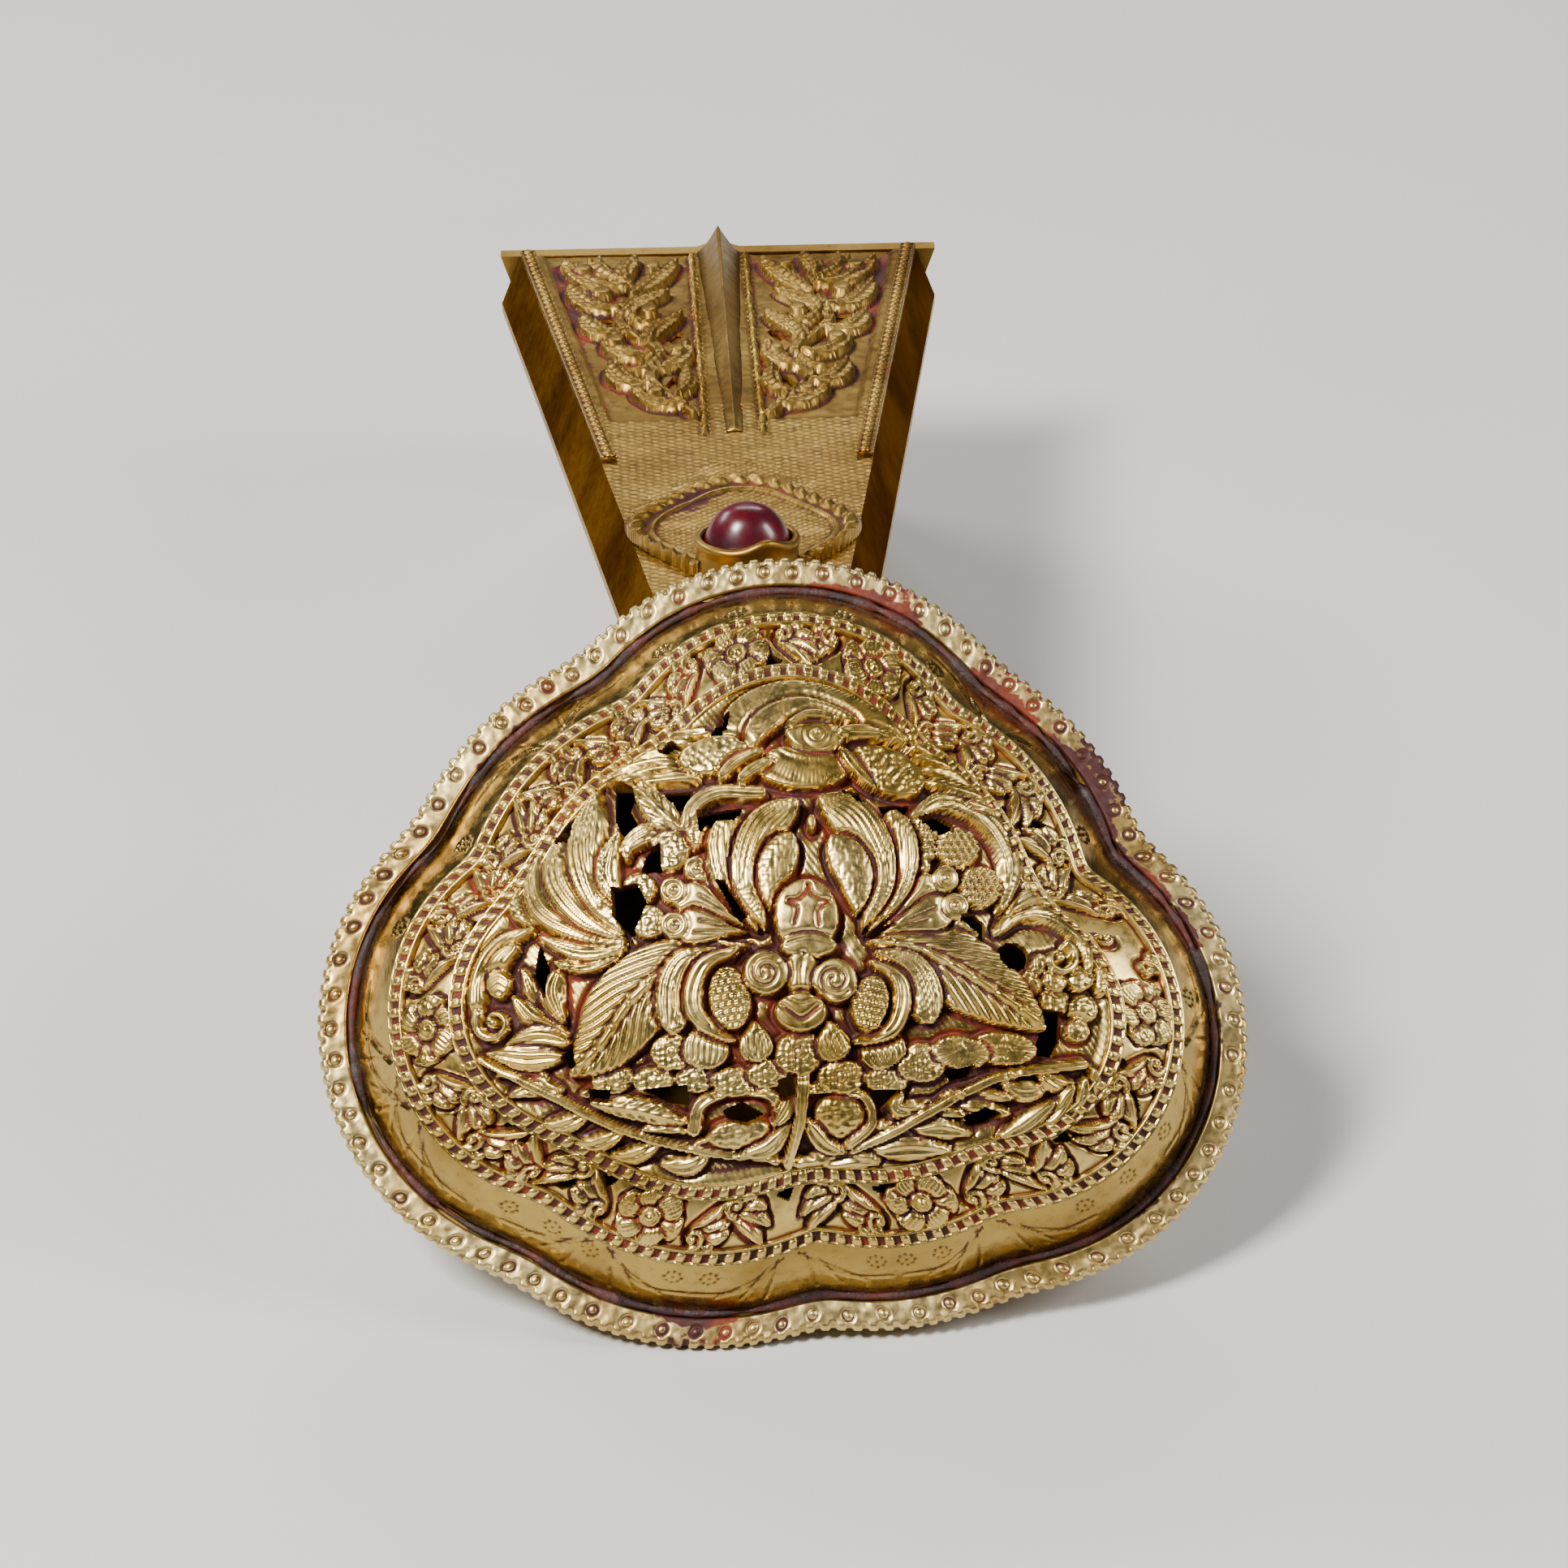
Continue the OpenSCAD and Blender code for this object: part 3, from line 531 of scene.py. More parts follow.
class Nodes:
    """Short way to build a material's nodes."""

    def __init__(self, name):
        self.mat = bpy.data.materials.new(name)
        self.mat.use_nodes = True
        self.tree = self.mat.node_tree
        self.shader = self.tree.nodes["Principled BSDF"]
        self.place = self.add("ShaderNodeTexCoord").outputs["Object"]

    def add(self, kind, **sets):
        """A node, with these settings of its own."""
        node = self.tree.nodes.new(kind)
        for key, v in sets.items():
            setattr(node, key, v)
        return node

    def put(self, socket, v):
        """Link an output into a socket, or set a plain value on it."""
        if isinstance(v, bpy.types.NodeSocket):
            self.tree.links.new(v, socket)
        else:
            socket.default_value = v

    def noise(self, size_mm, detail=4.0, rough=0.55, where=None):
        n = self.add("ShaderNodeTexNoise")
        self.put(n.inputs["Vector"], where or self.place)
        n.inputs["Scale"].default_value = 1000.0 / size_mm
        n.inputs["Detail"].default_value = detail
        n.inputs["Roughness"].default_value = rough
        return n.outputs["Fac"]

    def field(self, name):
        return self.add("ShaderNodeAttribute", attribute_name=name).outputs["Fac"]

    def maths(self, op, a, b, clamp=False):
        n = self.add("ShaderNodeMath", operation=op, use_clamp=clamp)
        self.put(n.inputs[0], a)
        self.put(n.inputs[1], b)
        return n.outputs[0]

    def span(self, v, a, b, lo=0.0, hi=1.0):
        """Smooth step of v from lo at a to hi at b."""
        n = self.add("ShaderNodeMapRange", interpolation_type="SMOOTHSTEP")
        for i, w in enumerate((v, a, b, lo, hi)):
            self.put(n.inputs[i], w)
        return n.outputs[0]

    def mix(self, f, a, b):
        n = self.add("ShaderNodeMix", data_type="RGBA")
        self.put(n.inputs[0], f)
        self.put(n.inputs[6], a if isinstance(a, bpy.types.NodeSocket) else (*a, 1))
        self.put(n.inputs[7], b if isinstance(b, bpy.types.NodeSocket) else (*b, 1))
        return n.outputs[2]

    def bump(self, height, strength, dist_mm, under=None):
        n = self.add("ShaderNodeBump")
        n.inputs["Strength"].default_value = strength
        n.inputs["Distance"].default_value = dist_mm * MM
        self.put(n.inputs["Height"], height)
        if under:
            self.put(n.inputs["Normal"], under)
        return n.outputs["Normal"]

    def finish(self, **sockets):
        for key, v in sockets.items():
            self.put(self.shader.inputs[key.replace("_", " ")], v)
        return self.mat


def rgb(r, g, b):
    """Linear colour from 0-255 screen values."""
    v = np.array([r, g, b]) / 255
    return tuple(np.where(v <= 0.04045, v / 12.92, ((v + 0.055) / 1.055) ** 2.4))


def gilt(name, pale, deep, shade, rough=0.3, lac_bias=0.0, scratch=0.15, hollow_shade=1.0):
    """Old gilt: two golds in drifting patches, painted shade darkening the hollows to brown,
    dark red and orange lac where the lac field, the hollows and a fine noise add up."""
    g = Nodes(name)
    patch = g.noise(14, 4, 0.6)
    fine = g.noise(1.1, 5, 0.65)
    speck = g.noise(0.35, 3, 0.6)
    hollow, lac = g.field("hollow"), g.field("lac")
    gold = g.mix(g.span(patch, 0.38, 0.66), pale, deep)
    gold = g.mix(g.span(fine, 0.52, 0.75, 0, 0.35), gold, shade)
    # Painted shade: the hollow field darkens the gold towards the shade colour in recesses, and
    # the fine noise adds random darker tone.
    shade_and_tone = g.maths("ADD", g.maths("MULTIPLY", hollow, hollow_shade),
                   g.maths("MULTIPLY", g.maths("SUBTRACT", fine, 0.5), 0.7))
    gold = g.mix(g.span(shade_and_tone, 0.1, 0.9, 0, 0.95), gold, shade)
    amount = g.maths("ADD", g.maths("MULTIPLY", hollow, 0.55),
                     g.maths("ADD", lac, lac_bias))
    amount = g.maths("ADD", amount, g.maths("MULTIPLY", g.maths("SUBTRACT", fine, 0.5), 0.9))
    amount = g.maths("ADD", amount, g.maths("MULTIPLY", g.maths("SUBTRACT", patch, 0.5), 0.9))
    mask = g.span(amount, 0.44, 0.62)
    red = g.mix(g.span(g.noise(5, 3, 0.5), 0.45, 0.68), rgb(64, 13, 8), rgb(126, 44, 8))
    red = g.mix(g.span(speck, 0.35, 0.7, 0, 0.5), red, rgb(30, 6, 4))
    colour = g.mix(mask, gold, red)
    r = g.maths("ADD", g.span(fine, 0.3, 0.75, rough - 0.06, rough + 0.14),
                g.maths("MULTIPLY", mask, 0.22))
    r = g.maths("ADD", r, g.maths("MULTIPLY", g.span(shade_and_tone, 0.2, 1.0), 0.12), clamp=True)
    stretch = g.add("ShaderNodeMapping")
    g.put(stretch.inputs["Vector"], g.place)
    stretch.inputs["Scale"].default_value = (1.0, 0.12, 0.3)
    stretch.inputs["Rotation"].default_value = (0.4, 0.3, 0.6)
    marks = g.noise(0.4, 3, 0.7, where=stretch.outputs[0])
    bump = g.bump(marks, scratch, 0.05)
    bump = g.bump(speck, 0.2, 0.04, under=bump)
    bump = g.bump(g.noise(2.4, 3, 0.5), 0.12, 0.1, under=bump)
    return g.finish(Base_Color=colour, Roughness=r, Normal=bump,
                    Metallic=g.span(mask, 0, 1, 1.0, 0.12))


PALE, DEEP, SHADE = rgb(222, 194, 120), rgb(194, 160, 78), rgb(66, 40, 10)
sheet_gilt = gilt("chased_gilt", PALE, DEEP, SHADE, 0.3)
rim_gilt = gilt("punched_rim_gilt", rgb(212, 188, 128), rgb(188, 156, 88), SHADE, 0.36, 0.02)
plain_gilt = gilt("plain_gilt", rgb(200, 168, 94), rgb(168, 132, 62), SHADE, 0.32, -0.05, 0.4)
handle_gilt = gilt("handle_gilt", rgb(172, 140, 72), rgb(138, 104, 44), SHADE, 0.4, 0.04)
# Painted shade: the handle's sloping sides get darker copies of the handle gold and a dark
# specular tint, for the shade on them.
handle_side_painted_shade = gilt("handle_side_painted_shade", rgb(120, 92, 38), rgb(86, 62, 20), SHADE, 0.5, 0.05)
handle_side_painted_shade.node_tree.nodes["Principled BSDF"].inputs["Specular Tint"].default_value = (
    0.3, 0.2, 0.07, 1)
inner_gilt = gilt("inner_gilt", rgb(150, 116, 60), rgb(104, 74, 34), rgb(52, 32, 14), 0.45, 0.0)


def cut_gilt():
    """Sawn edges: deep yellow, striped by the saw, brown in places."""
    g = Nodes("sawn_gilt")
    stripe = g.add("ShaderNodeMapping")
    g.put(stripe.inputs["Vector"], g.place)
    stripe.inputs["Scale"].default_value = (1.0, 0.2, 0.2)
    saw = g.noise(0.3, 2, 0.6, where=stripe.outputs[0])
    colour = g.mix(g.span(g.noise(3, 3), 0.4, 0.62), rgb(206, 152, 44), rgb(140, 80, 22))
    colour = g.mix(g.span(g.noise(7, 3), 0.56, 0.68), colour, rgb(110, 40, 20))
    return g.finish(Base_Color=colour, Roughness=g.span(saw, 0.3, 0.7, 0.35, 0.55),
                    Metallic=0.85, Normal=g.bump(saw, 0.6, 0.12))


def lac(name, dark, warm):
    """Dark red lac: glossy in places, crusted and dusty in others."""
    g = Nodes(name)
    patch, fine = g.noise(4, 4, 0.6), g.noise(0.6, 5, 0.7)
    colour = g.mix(g.span(patch, 0.4, 0.64), dark, warm)
    colour = g.mix(g.span(fine, 0.58, 0.72, 0, 0.6), colour, rgb(96, 52, 38))
    return g.finish(Base_Color=colour, Roughness=g.span(fine, 0.3, 0.7, 0.3, 0.7),
                    Normal=g.bump(fine, 0.8, 0.2))


sawn = cut_gilt()
seam_red = lac("seam_lac", rgb(34, 6, 10), rgb(74, 18, 12))
GOLD = [sheet_gilt, sawn, inner_gilt]


# ---- Cover: dome ----

def scored_curl(r, x, u, rad, hand):
    """Round curl: a mound with a spiral line cut into it."""
    r.boss(x, u, rad, rad, lift=0.75, crown=0.5)
    f = np.linspace(0, 1, 24)
    a = hand * (0.6 + 3.2 * PI * f)
    reach = rad * (0.72 - 0.56 * f)
    r.score(np.stack([x + reach * np.cos(a), u + reach * np.sin(a)], 1), 0.16, 0.3, 0.5)


DOME_HOLES = (
    ((-13.8, 12.2), (-12.2, 12), (-12.7, 9.9), (-12, 8.4), (-13.3, 7.9), (-13.8, 9.2)),
    ((-9.9, 11.4), (-7.5, 11.4), (-8.4, 10), (-9.2, 10.3)),
    ((-7, 9.3), (-3.4, 9.7), (-4, 8.4), (-6.2, 8.4), (-6.8, 7.6)),
    ((-17, 9.8), (-17.4, 7.7), (-18.5, 7.2), (-18, 8.7)),
    ((-10.2, 6.6), (-10.2, 4.6), (-11.8, 4.6), (-11.2, 6.2)),
    ((-14.1, 3), (-12.2, 3.3), (-11.5, 1.8), (-12, 0.5), (-12.7, -0.8), (-14.1, 0.8)),
    ((-20.4, -1.4), (-19.8, -3.1), (-19.9, -5.7), (-20.9, -3.8)),
    ((-5.6, 3.3), (-5, 3.2), (-3.2, 0.2), (-3.9, 0.2)),
    ((11.4, 8.4), (12.8, 8.8), (14.3, 8.1), (14, 7.2), (12.4, 7.3)),
    ((18.6, 8.8), (19.4, 8.1), (19.5, 6.5), (18.8, 5.6), (18.4, 7.3)),
    ((5.2, 11.1), (6.5, 10.8), (7.4, 9.5), (6.1, 9.8)),
    ((8.2, 9.6), (10.7, 9.8), (10.1, 9), (8.6, 8.9)),
    ((14.4, 0.1), (15.7, 0.2), (16.6, -0.5), (16.5, -1.6), (15.4, -0.9)),
    ((21.3, -7.8), (22.7, -8), (22.5, -10.4), (21.9, -11.6), (20.6, -11.4), (21.1, -9.5)),
    ((13, -12.8), (15.2, -12.3), (14.7, -13.2), (13.3, -13.5)),
    ((14.4, -16.3), (16.1, -15.6), (17.3, -16), (16.4, -17), (14.8, -17.3)),
    ((6.6, -14.2), (9, -14.2), (7.3, -15.8)),
    ((-1, -13.2), (0.1, -12.9), (0.4, -14.4), (-0.5, -14.7)),
    ((-5.5, -15.6), (-4, -15), (-2.3, -16), (-3.6, -16.6), (-5.2, -16.2)),
    ((-12, -13.6), (-8.5, -13.4), (-8.5, -15), (-10, -14.8)),
    ((-18.6, -10.6), (-17.8, -9.8), (-17.6, -11.3), (-18.2, -11.6)),
    ((-16.5, -13.4), (-14.8, -13.5), (-15, -14.3), (-16.2, -14.1)),
    ((-6, 16.6), (-4, 17.9), (-4.3, 16.5), (-5.4, 16.2)),
    ((-9.9, 14.9), (-8.8, 15.6), (-8.3, 15.1), (-9.3, 14.6)),
)


def dome_piercings(r):
    """The dome's holes: the outlines in DOME_HOLES, and one ten-sided hole."""
    for outline in DOME_HOLES:
        r.pierce(*outline)
    ang = np.arange(10) * 0.2 * PI
    r.pierce(*np.stack([18.9 + 1.3 * np.cos(ang), -3.2 + 1.2 * np.sin(ang)], 1))


def leaves(r, half, *paths, **more):
    """Several like leaves, drawn in turn; each path is the line down a leaf's middle."""
    for points in paths:
        r.blade(list(points), half, **more)


def dome_foliage(r):
    """Stems, fronds and scrolls round the flower."""
    # lower left: stem and its leaves
    leaves(r, 0.85, ((-19.8, -12.6), (-21.6, -11.6), (-24.4, -11.8)),
           ((-18.6, -13.4), (-21.4, -13), (-23.4, -13.6)),
           ((-17.4, -13.6), (-14, -13.9), (-11.6, -14.8)),
           ((-16.4, -15.2), (-18.8, -16), (-20.6, -15.8)),
           ((-13.6, -16.8), (-16, -17.6), (-18, -17.4)),
           ((-10.6, -17.8), (-13, -18.7), (-15, -18.5)),
           ((-12.4, -16.8), (-9.8, -16.4), (-7.2, -17.4)),
           ((-8.4, -18.3), (-5.6, -18.1), (-3, -18.9)),
           ((-6.6, -18.8), (-8.6, -19.8), (-11, -19.4)),
           lift=0.35, crown=0.2, lines=3, cut=0.22)
    r.blade([(-16.6, -14.3), (-12.4, -15.1), (-8, -16.5)], 1.05, 0.5, 0.3, 0.45, 0.8, 1.6,
            pitch=1.0, rib=0.16, cut=0.2)
    r.stem([(-25.4, -10.4), (-19.8, -13.6), (-13.6, -16.8), (-7.3, -18.7), (-0.6, -19.6)],
           0.42, 0.5, 0.7, 0.1)
    # lower right: jointed stem and paired leaves
    leaves(r, 0.95, ((17.4, -13.4), (19.2, -14.4), (21.8, -14)),
           ((20.6, -12.8), (22.6, -13.9), (24, -13.6)),
           ((11.4, -15.7), (14.6, -14.7), (18.6, -14.9)),
           ((12.4, -15.9), (15.4, -15.9), (18.4, -16)),
           ((7.4, -17.6), (10.6, -16), (14.6, -16.1)),
           ((8.6, -17.6), (12, -17.3), (15.2, -17.6)),
           ((3.2, -18.8), (6.6, -17.4), (10.6, -18)),
           ((6.2, -18.9), (10, -18.8), (13.4, -18.8)),
           ((2, -19.6), (4.8, -19.4), (7.6, -19.7)),
           ((12, -16.2), (8.8, -15.6), (9.4, -14.2)),
           lift=0.38, crown=0.25, lines=3, cut=0.24)
    leaves(r, 0.8, ((25.2, -12.2), (25.6, -14.8), (23.8, -17.2)),
           ((24.6, -13), (24, -15.4), (21.6, -17.4)),
           ((23.6, -13.8), (22, -16), (19.4, -17.4)),
           ((22, -15), (19.6, -16.8), (17, -18)), lift=0.4, crown=0.25, lines=3, cut=0.24)
    r.stem([(24.4, -12.1), (18.6, -12.9), (15.4, -13.9), (11.6, -15.8), (7.4, -17.9),
            (2.6, -19.3), (-0.4, -19.7)], 0.5, 0.55, 0.7, 0.12)
    for x, u in ((18.4, -12.9), (14, -14.5)):
        r.boss(x, u, 0.35, 0.7, 15, 0.85, 0.1, ditch=0.15)
    # curls under the flower
    r.boss(-4.2, -17.4, 2.9, 1.25, 4, 0.3, 0.3, "pebble", size=0.5, cut=0.26)
    r.boss(4.0, -16.1, 2.2, 1.9, 0, 0.35, 0.3, "pebble", size=0.55, cut=0.26)
    r.stem([(-8, -16.9), (-7.4, -14.9), (-5, -14), (-1.6, -14.4), (-0.6, -17.2)], 0.62, 0.6,
           0.8, 0.18)
    r.stem([(1.2, -14), (3, -13.9), (6, -14.6), (6.6, -16.8), (4.6, -18.4)], 0.55, 0.6, 0.7,
           0.18)
    leaves(r, 0.75, ((0.9, -16), (2.6, -18.2), (4.6, -18.9)),
           ((0.1, -16.4), (-1.8, -18.4), (-4.4, -19)),
           ((0.4, -14), (-0.4, -15.6), (-1.6, -16.9)), lift=0.5, crown=0.2, lines=2, cut=0.24)
    r.stem([(1.1, -12.6), (0.7, -16.4), (-0.4, -19.7)], 0.7, 0.65, 0.6, 0.24)
    # left scroll and the leaves inside it
    leaves(r, 1.05, ((-18.4, -8.6), (-20.4, -6.4), (-21.8, -3)),
           ((-18, -9), (-20.8, -7.6), (-22.8, -5.2)),
           ((-17.8, -9.6), (-21, -9), (-24, -9.9)),
           ((-18.2, -10.6), (-21.4, -10.6), (-25, -9.9)),
           ((-18.6, -3.2), (-19.4, -5.4), (-18.4, -8)),
           lift=0.4, crown=0.3, lines=3, cut=0.26)
    r.blade([(-20.6, 0.2), (-23.6, -1.2), (-25.4, -4.2), (-25.6, -8.4)], 0.95, 0.5, 0.3, 0.5,
            0.5, lines=3, cut=0.24)
    r.blade([(-21.9, -1.2), (-23.6, -2.6), (-24.3, -5.2)], 0.9, 0.5, 0.3, 0.5, 0.6, lines=2)
    r.boss(-23.7, -4.4, 1.1, 1.3, 0, 0.6, 0.25, "herring", size=0.6)
    r.volute(-24.2, -7.5, 1.35, 1.3, 150, 1, 0.6, 0.45)
    # left fronds, from the outside in
    leaves(r, 1.0, ((-13.2, -2), (-16.6, -3), (-19.4, -2.9)),
           ((-13.2, -1.8), (-17, -1.8), (-20.6, -0.6)), lift=0.5, crown=0.3, lines=4, cut=0.24)
    r.blade([(-19.8, 0.6), (-21.8, 1.6), (-21.6, 4.6), (-20.6, 6.6)], 1.0, 0.3, 0.3, pitch=0.5,
            slant=0.6)
    r.blade([(-13, -1.6), (-16.6, 0), (-19.8, 2.4), (-20.2, 7.2)], 1.7, 0.45, 0.3, 0.55, 0.7,
            lines=7, cut=0.24)
    r.blade([(-13.1, -1.3), (-16.4, 1.2), (-18.3, 4.6), (-17.4, 9)], 1.7, 0.55, 0.3, 0.55, 0.7,
            lines=7, cut=0.24)
    r.blade([(-13.3, -0.9), (-15.4, 2.4), (-16.2, 6.6), (-15, 12)], 1.6, 0.65, 0.3, 0.55, 0.75,
            lines=6, cut=0.24)
    r.blade([(-13.7, 1.6), (-14.5, 4.6), (-13.4, 8.2)], 1.0, 0.75, 0.25, lines=4, cut=0.22)
    for i in range(7):
        r.dot(-15.1 + 0.05 * i, 1.6 + 0.75 * i, 0.2, 0.22)
    # curled leaf, small leaf and arching band at the upper left
    r.blade([(-7.2, 6.4), (-10, 8), (-12.6, 6.8), (-13, 5)], 1.1, 0.55, 0.3, lines=5, cut=0.24)
    r.blade([(-7.9, 7.2), (-10, 9.4), (-12.2, 12.1)], 1.35, 0.65, 0.25, 0.5, 0.7, 1.8,
            pitch=1.1, rib=0.16, cut=0.22)
    r.stem([(-7.5, 6.8), (-7.5, 9.4), (-5.4, 10.9), (-1.8, 10.8)], 0.78, 0.6, 0.9, 0.2)
    # right: hatched fronds, scroll and pebbled lobes
    leaves(r, 1.35, ((21, 0.8), (24.6, 2), (26.2, 0)), ((20.6, 1.2), (24.2, 3.2), (25, 7)),
           ((19.6, 1.2), (22.4, 5), (22.2, 10)), ((18.6, 1), (20.4, 4.6), (20, 9.6)),
           ((24.6, -0.4), (26.4, -3), (26.2, -6.6)),
           lift=0.3, crown=0.25, pitch=0.46, slant=0.8, cut=0.2)
    for x, u, rad in ((20.4, -5.4, 1.25), (21.2, -3.9, 1.0), (22.2, -7, 1.35), (24.6, -7.6, 1.3),
                      (24.4, -4.9, 1.3), (22.3, -5.2, 1.1), (24, -9.4, 1.1), (25, -2.6, 1.0)):
        r.boss(x, u, rad, rad, 0, 0.38, 0.25, "pebble", size=0.42, cut=0.3)
    r.blade([(17.4, -1.4), (19.4, 0.5), (22.4, 0.4), (24.7, -1.8), (25.2, -4.6)], 0.95, 0.55,
            0.3, 0.4, 0.5, lines=4, cut=0.22)
    r.volute(22.7, -3.4, 1.3, 1.2, 60, -1, 0.55, 0.42)
    r.blade([(18.2, 0.4), (20.4, 1.9), (23.4, 1.8)], 0.8, 0.5, 0.3, lines=3, cut=0.22)
    # band that curls over the scaled bumps
    r.blade([(10.2, 7.9), (13.2, 9.9), (16.9, 8.6), (18.9, 4.8), (17.8, 0.4)], 1.0, 0.6,
            0.25, 0.5, 0.4, lines=4, cut=0.22)
    r.blade([(15.2, 9.8), (18, 9.8), (20.8, 8.8)], 0.75, 0.5, 0.25, lines=3)


def fan_of_lines(r, x, u, near, far, first, last, count, deep=0.12):
    """Chased lines round a point, from the radii near to far, given as (across, up) pairs."""
    for i in range(count):
        a = math.radians(first + (last - first) * i / (count - 1))
        r.score([(x + near[0] * math.cos(a), u + near[1] * math.sin(a)),
                 (x + far[0] * math.cos(a), u + far[1] * math.sin(a))], 0.09, deep)


def dome_bird(r):
    """Bird at the top: arched crest, ringed eye, beak to the right, striped breast, wings
    with dotted shoulders and long flight feathers."""
    leaves(r, 0.55, ((-5, 16.4), (-8.6, 16.2), (-12, 15.1)), ((-7, 15.6), (-10.6, 15.3),
                                                             (-14, 14)),
           ((-7.8, 14.8), (-12, 14.4), (-15.6, 12.9)), ((-7.8, 14), (-12, 13.5), (-15.4, 12.2)),
           ((-7.4, 13.2), (-11, 12.9), (-14.2, 12)), ((-6.6, 12.4), (-9.6, 12.4), (-12, 12)),
           ((7.6, 17.2), (11.6, 16.2), (14.6, 14.8)), ((9.6, 16), (13.4, 15.2), (17, 13.4)),
           ((10.4, 15), (14.8, 14), (18.8, 12)), ((11, 14), (15.4, 12.9), (20, 10.8)),
           ((11.4, 12.9), (15.6, 11.8), (20.6, 9.8)), ((11.6, 11.9), (15, 11), (18.6, 9.9)),
           lift=0.55, crown=0.25, peak=0.4, blunt=0.5, lines=2, cut=0.18)
    r.blade([(-4.3, 15), (-2.9, 17.9), (1.2, 19.3), (6, 18.1), (10.8, 15.2)], 1.7, 0.55, 0.25,
            0.42, 0.5, lines=13, cut=0.14)
    r.blade([(-2.8, 14.4), (-1.3, 16.9), (2, 18.2), (6.6, 17)], 1.15, 0.65, 0.25, 0.42, 0.5,
            lines=8, cut=0.14)
    r.boss(-5.5, 14.3, 3.0, 1.75, 10, 0.6, 0.2)
    for i in range(40):
        a, q = 2.4 * i, math.sqrt((i + 0.5) / 40)
        r.dot(-5.5 + 2.6 * q * math.cos(a), 14.3 + 1.35 * q * math.sin(a)
              + 0.18 * 2.6 * q * math.cos(a), 0.13, 0.2)
    r.boss(8.8, 12.6, 3.6, 2.1, -26, 0.6, 0.2)
    for i in range(48):
        a, q = 2.4 * i, math.sqrt((i + 0.5) / 48)
        r.dot(8.9 + 3.0 * q * math.cos(a), 12.6 + 1.55 * q * math.sin(a)
              - 0.46 * 3.0 * q * math.cos(a), 0.14, -0.24)
    r.boss(2.0, 13.1, 4.2, 2.1, 0, 0.6, 0.3)
    fan_of_lines(r, 2.6, 15.2, (2.9, 1.5), (4.6, 3.8), 200, 340, 30, 0.16)
    fan_of_lines(r, 2.6, 15.2, (2.2, 1.2), (3.0, 2.1), 196, 344, 22, 0.12)
    leaves(r, 0.6, ((-5.2, 12), (-3.6, 13.5), (-1.2, 14.6)),
           ((-3.6, 11.8), (-2.2, 12.9), (-0.6, 13.7)), ((4.9, 14.8), (6.2, 12.8), (7.8, 10.8)),
           lift=0.75, crown=0.2, blunt=0.45, lines=2)
    r.boss(3.0, 15.8, 2.7, 1.6, -4, 0.85, 0.25)
    r.blade([(4.9, 16), (7.6, 15.9), (10.8, 15)], 0.6, 0.9, 0.2, 0.25, 0.7, lines=1, cut=0.24)
    r.dot(3.1, 15.8, 1.2, 0.05, 0.34)
    r.dot(3.1, 15.8, 0.62, 0.22, 0.3)
    r.blade([(0.4, 16.6), (2.8, 17.6), (5.4, 16.8)], 0.35, 0.95, 0.15, blunt=0.6)


